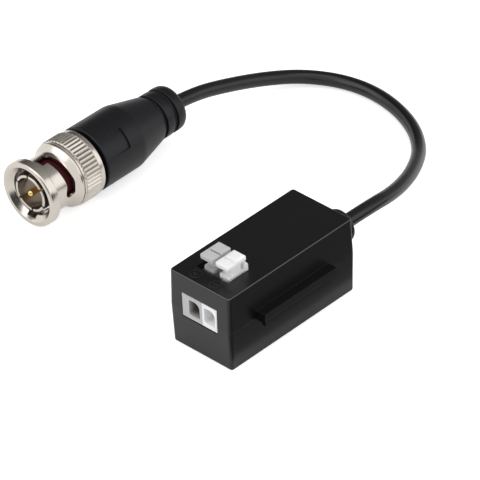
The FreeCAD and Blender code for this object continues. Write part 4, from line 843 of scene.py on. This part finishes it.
def painted_edge_highlight(tree, place, colour, lift):
    """Paints a highlight on the rounded edges that lie level, from the object's own normal n.

    The share grows as max(|nx|, |ny|, |nz|) falls from 0.88 to 0.74, times |nz| * 1.4.
    """
    if not lift:
        return colour
    size = add_node(tree, "ShaderNodeVectorMath", operation="ABSOLUTE")
    split = add_node(tree, "ShaderNodeSeparateXYZ")
    first = add_node(tree, "ShaderNodeMath", operation="MAXIMUM")
    most = add_node(tree, "ShaderNodeMath", operation="MAXIMUM")
    share = add_node(tree, "ShaderNodeMapRange", interpolation_type="SMOOTHSTEP")
    share.inputs["From Min"].default_value = EDGE_STARTS
    share.inputs["From Max"].default_value = EDGE_IS_FULL
    level = add_node(tree, "ShaderNodeMath", operation="MULTIPLY", use_clamp=True)
    level.inputs[1].default_value = LEVEL_GAIN
    both = add_node(tree, "ShaderNodeMath", operation="MULTIPLY")
    mix = add_node(tree, "ShaderNodeMix", data_type="RGBA")
    mix.inputs[MIX_SECOND].default_value = (lift, lift, lift, 1.0)
    tree.links.new(place.outputs["Normal"], size.inputs[0])
    tree.links.new(size.outputs[0], split.inputs[0])
    tree.links.new(split.outputs["X"], first.inputs[0])
    tree.links.new(split.outputs["Y"], first.inputs[1])
    tree.links.new(first.outputs[0], most.inputs[0])
    tree.links.new(split.outputs["Z"], most.inputs[1])
    tree.links.new(most.outputs[0], share.inputs["Value"])
    tree.links.new(split.outputs["Z"], level.inputs[0])
    tree.links.new(share.outputs[0], both.inputs[0])
    tree.links.new(level.outputs[0], both.inputs[1])
    tree.links.new(both.outputs[0], mix.inputs[0])
    tree.links.new(colour, mix.inputs[MIX_FIRST])
    return mix.outputs[MIX_RESULT]


print("edges lighten where the largest share of the normal is under", EDGE_STARTS)

# %% Make one grainy finish
CLOUDS = 400.0
SHINE_SWING = 0.06
SKIN_DEPTH = 0.0022


def grainy(name, colour, roughness, grain, depth, spread=0.12, metallic=0.0, specular=0.5,
           subsurface=0.0, painted_hole_light=None, lathe=False, edges=0.0):
    """A finish whose colour, roughness and bump follow two sizes of noise.

    colour is the mean colour and spread is how far the large noise moves it. grain is
    the number of fine bumps a metre, and depth is their height in metres. On a lathe
    the fine noise depends only on the place along the axis, so it draws rings.
    """
    material, tree = new_material(name)
    place = add_node(tree, "ShaderNodeTexCoord")
    large = add_node(tree, "ShaderNodeTexNoise", Scale=CLOUDS, Detail=3.0)
    small = add_node(tree, "ShaderNodeTexNoise", Scale=grain, Detail=2.0)
    tree.links.new(place.outputs["Object"], large.inputs["Vector"])
    if lathe:
        small.noise_dimensions = "1D"
        split = add_node(tree, "ShaderNodeSeparateXYZ")
        tree.links.new(place.outputs["Object"], split.inputs[0])
        tree.links.new(split.outputs["Y"], small.inputs["W"])
    else:
        tree.links.new(place.outputs["Object"], small.inputs["Vector"])
    tint = add_node(tree, "ShaderNodeMix", data_type="RGBA")
    tint.inputs[MIX_FIRST].default_value = [c * (1 - spread) for c in colour] + [1.0]
    tint.inputs[MIX_SECOND].default_value = [min(c * (1 + spread), 1.0) for c in colour] + [1.0]
    tree.links.new(large.outputs["Fac"], tint.inputs[0])
    rough = add_node(tree, "ShaderNodeMapRange")
    rough.inputs["To Min"].default_value = max(roughness - SHINE_SWING, 0.02)
    rough.inputs["To Max"].default_value = min(roughness + SHINE_SWING, 1.0)
    tree.links.new(small.outputs["Fac"], rough.inputs["Value"])
    bump = add_node(tree, "ShaderNodeBump", Strength=1.0, Distance=depth)
    tree.links.new(small.outputs["Fac"], bump.inputs["Height"])
    shader = add_node(tree, "ShaderNodeBsdfPrincipled", Metallic=metallic)
    shader.inputs["Specular IOR Level"].default_value = specular
    shader.inputs["Subsurface Weight"].default_value = subsurface
    shader.inputs["Subsurface Radius"].default_value = (1.0, 1.0, 1.0)
    shader.inputs["Subsurface Scale"].default_value = SKIN_DEPTH
    # painted light and shade: darker or lighter deep in the terminals' holes, and a painted highlight on
    # level edges
    tinted = painted_edge_highlight(tree, place, paint_light_in_holes(tree, place, tint.outputs[MIX_RESULT], painted_hole_light), edges)
    tree.links.new(tinted, shader.inputs["Base Color"])
    tree.links.new(rough.outputs[0], shader.inputs["Roughness"])
    tree.links.new(bump.outputs[0], shader.inputs["Normal"])
    out = add_node(tree, "ShaderNodeOutputMaterial")
    tree.links.new(shader.outputs[0], out.inputs["Surface"])
    return material


print("the large noise repeats about every", round(1000 / CLOUDS, 1), "mm")

# %% Mix the finishes of plastic and rubber
FINISHES = {
    # painted highlight: edges=0.10 lightens the case's level edges
    "case_black": grainy("case_plastic", (0.0018, 0.0018, 0.0026), 0.30, 9000, 0.000004,
                         specular=0.41, edges=0.10),
    # painted shade: the grey terminal darkens from 0.3 to 1.6 mm behind the case's front, as shade in its
    # holes
    "terminal_grey": grainy("terminal_grey_plastic", (0.485, 0.48, 0.475), 0.42, 6000, 0.000003, 0.03,
                            painted_hole_light=(0.3, 1.6, 0.8, (0.08, 0.065, 0.055))),
    # painted light: the white terminal turns lighter from 0.2 to 0.7 mm behind the case's front, to lift the
    # shadow in its holes
    "terminal_white": grainy("terminal_white_plastic", (0.95, 0.95, 0.96), 0.42, 6000, 0.000003, 0.02,
                             subsurface=0.3, painted_hole_light=(0.2, 0.7, 0.9, (0.96, 0.97, 1.0))),
    "lever_grey": grainy("lever_grey_plastic", (0.475, 0.47, 0.475), 0.42, 6000, 0.000004, 0.04,
                         subsurface=0.3),
    "lever_white": grainy("lever_white_plastic", (0.81, 0.81, 0.82), 0.40, 6000, 0.000004, 0.02,
                          subsurface=0.8),
    "boot_black": grainy("boot_rubber", (0.0050, 0.0053, 0.0068), 0.40, 7000, 0.000004, specular=0.27),
    "jacket_black": grainy("jacket_vinyl", (0.004, 0.004, 0.0056), 0.25, 5000, 0.000002, specular=0.40),
    "gasket_red": grainy("gasket_silicone", (0.036, 0.003, 0.004), 0.6, 5000, 0.000003, specular=0.12),
    "dielectric_white": grainy("dielectric_white", (0.80, 0.78, 0.72), 0.45, 5000, 0.000002, 0.03),
}
print("finishes of plastic and rubber:", len(FINISHES))

# %% Mix the finishes of metal and of the board
FINISHES.update({
    "nickel": grainy("nickel_plate", (0.59, 0.545, 0.49), 0.22, 3500, 0.0000012, 0.03, 1.0, lathe=True),
    "gold": grainy("gold_plate", (0.86, 0.58, 0.22), 0.16, 5000, 0.000001, 0.04, 1.0),
    "spring_steel": grainy("spring_steel", (0.55, 0.55, 0.56), 0.28, 8000, 0.000002, 0.05, 1.0),
    "tinned_copper": grainy("tinned_copper", (0.66, 0.60, 0.52), 0.32, 8000, 0.000002, 0.08, 1.0),
    "bare_copper": grainy("bare_copper", (0.75, 0.38, 0.22), 0.3, 5000, 0.000002, 0.08, 1.0),
    "enamelled_copper": grainy("enamelled_copper", (0.45, 0.16, 0.05), 0.25, 5000, 0.000001, 0.1, 0.8),
    "board_green": grainy("solder_mask", (0.03, 0.16, 0.07), 0.3, 3000, 0.000004),
    "ferrite": grainy("ferrite", (0.03, 0.03, 0.033), 0.6, 9000, 0.000008),
    "ceramic_tan": grainy("ceramic_tan", (0.42, 0.30, 0.17), 0.5, 6000, 0.000003),
    "ceramic_black": grainy("ceramic_black", (0.02, 0.02, 0.022), 0.4, 6000, 0.000003),
})
print("finishes in all:", len(FINISHES))

# %% Put the finishes on
for part in frame["record"]["subparts"]:
    mesh = nodes[part["node"]].data
    mesh.materials.clear()
    mesh.materials.append(FINISHES[part["material_slot"]])
for piece, slot in made_pieces.items():
    piece.data.materials.clear()
    piece.data.materials.append(FINISHES[slot])
lead.data.materials.append(FINISHES["jacket_black"])
print("pieces made here:", len(made_pieces) + 1)
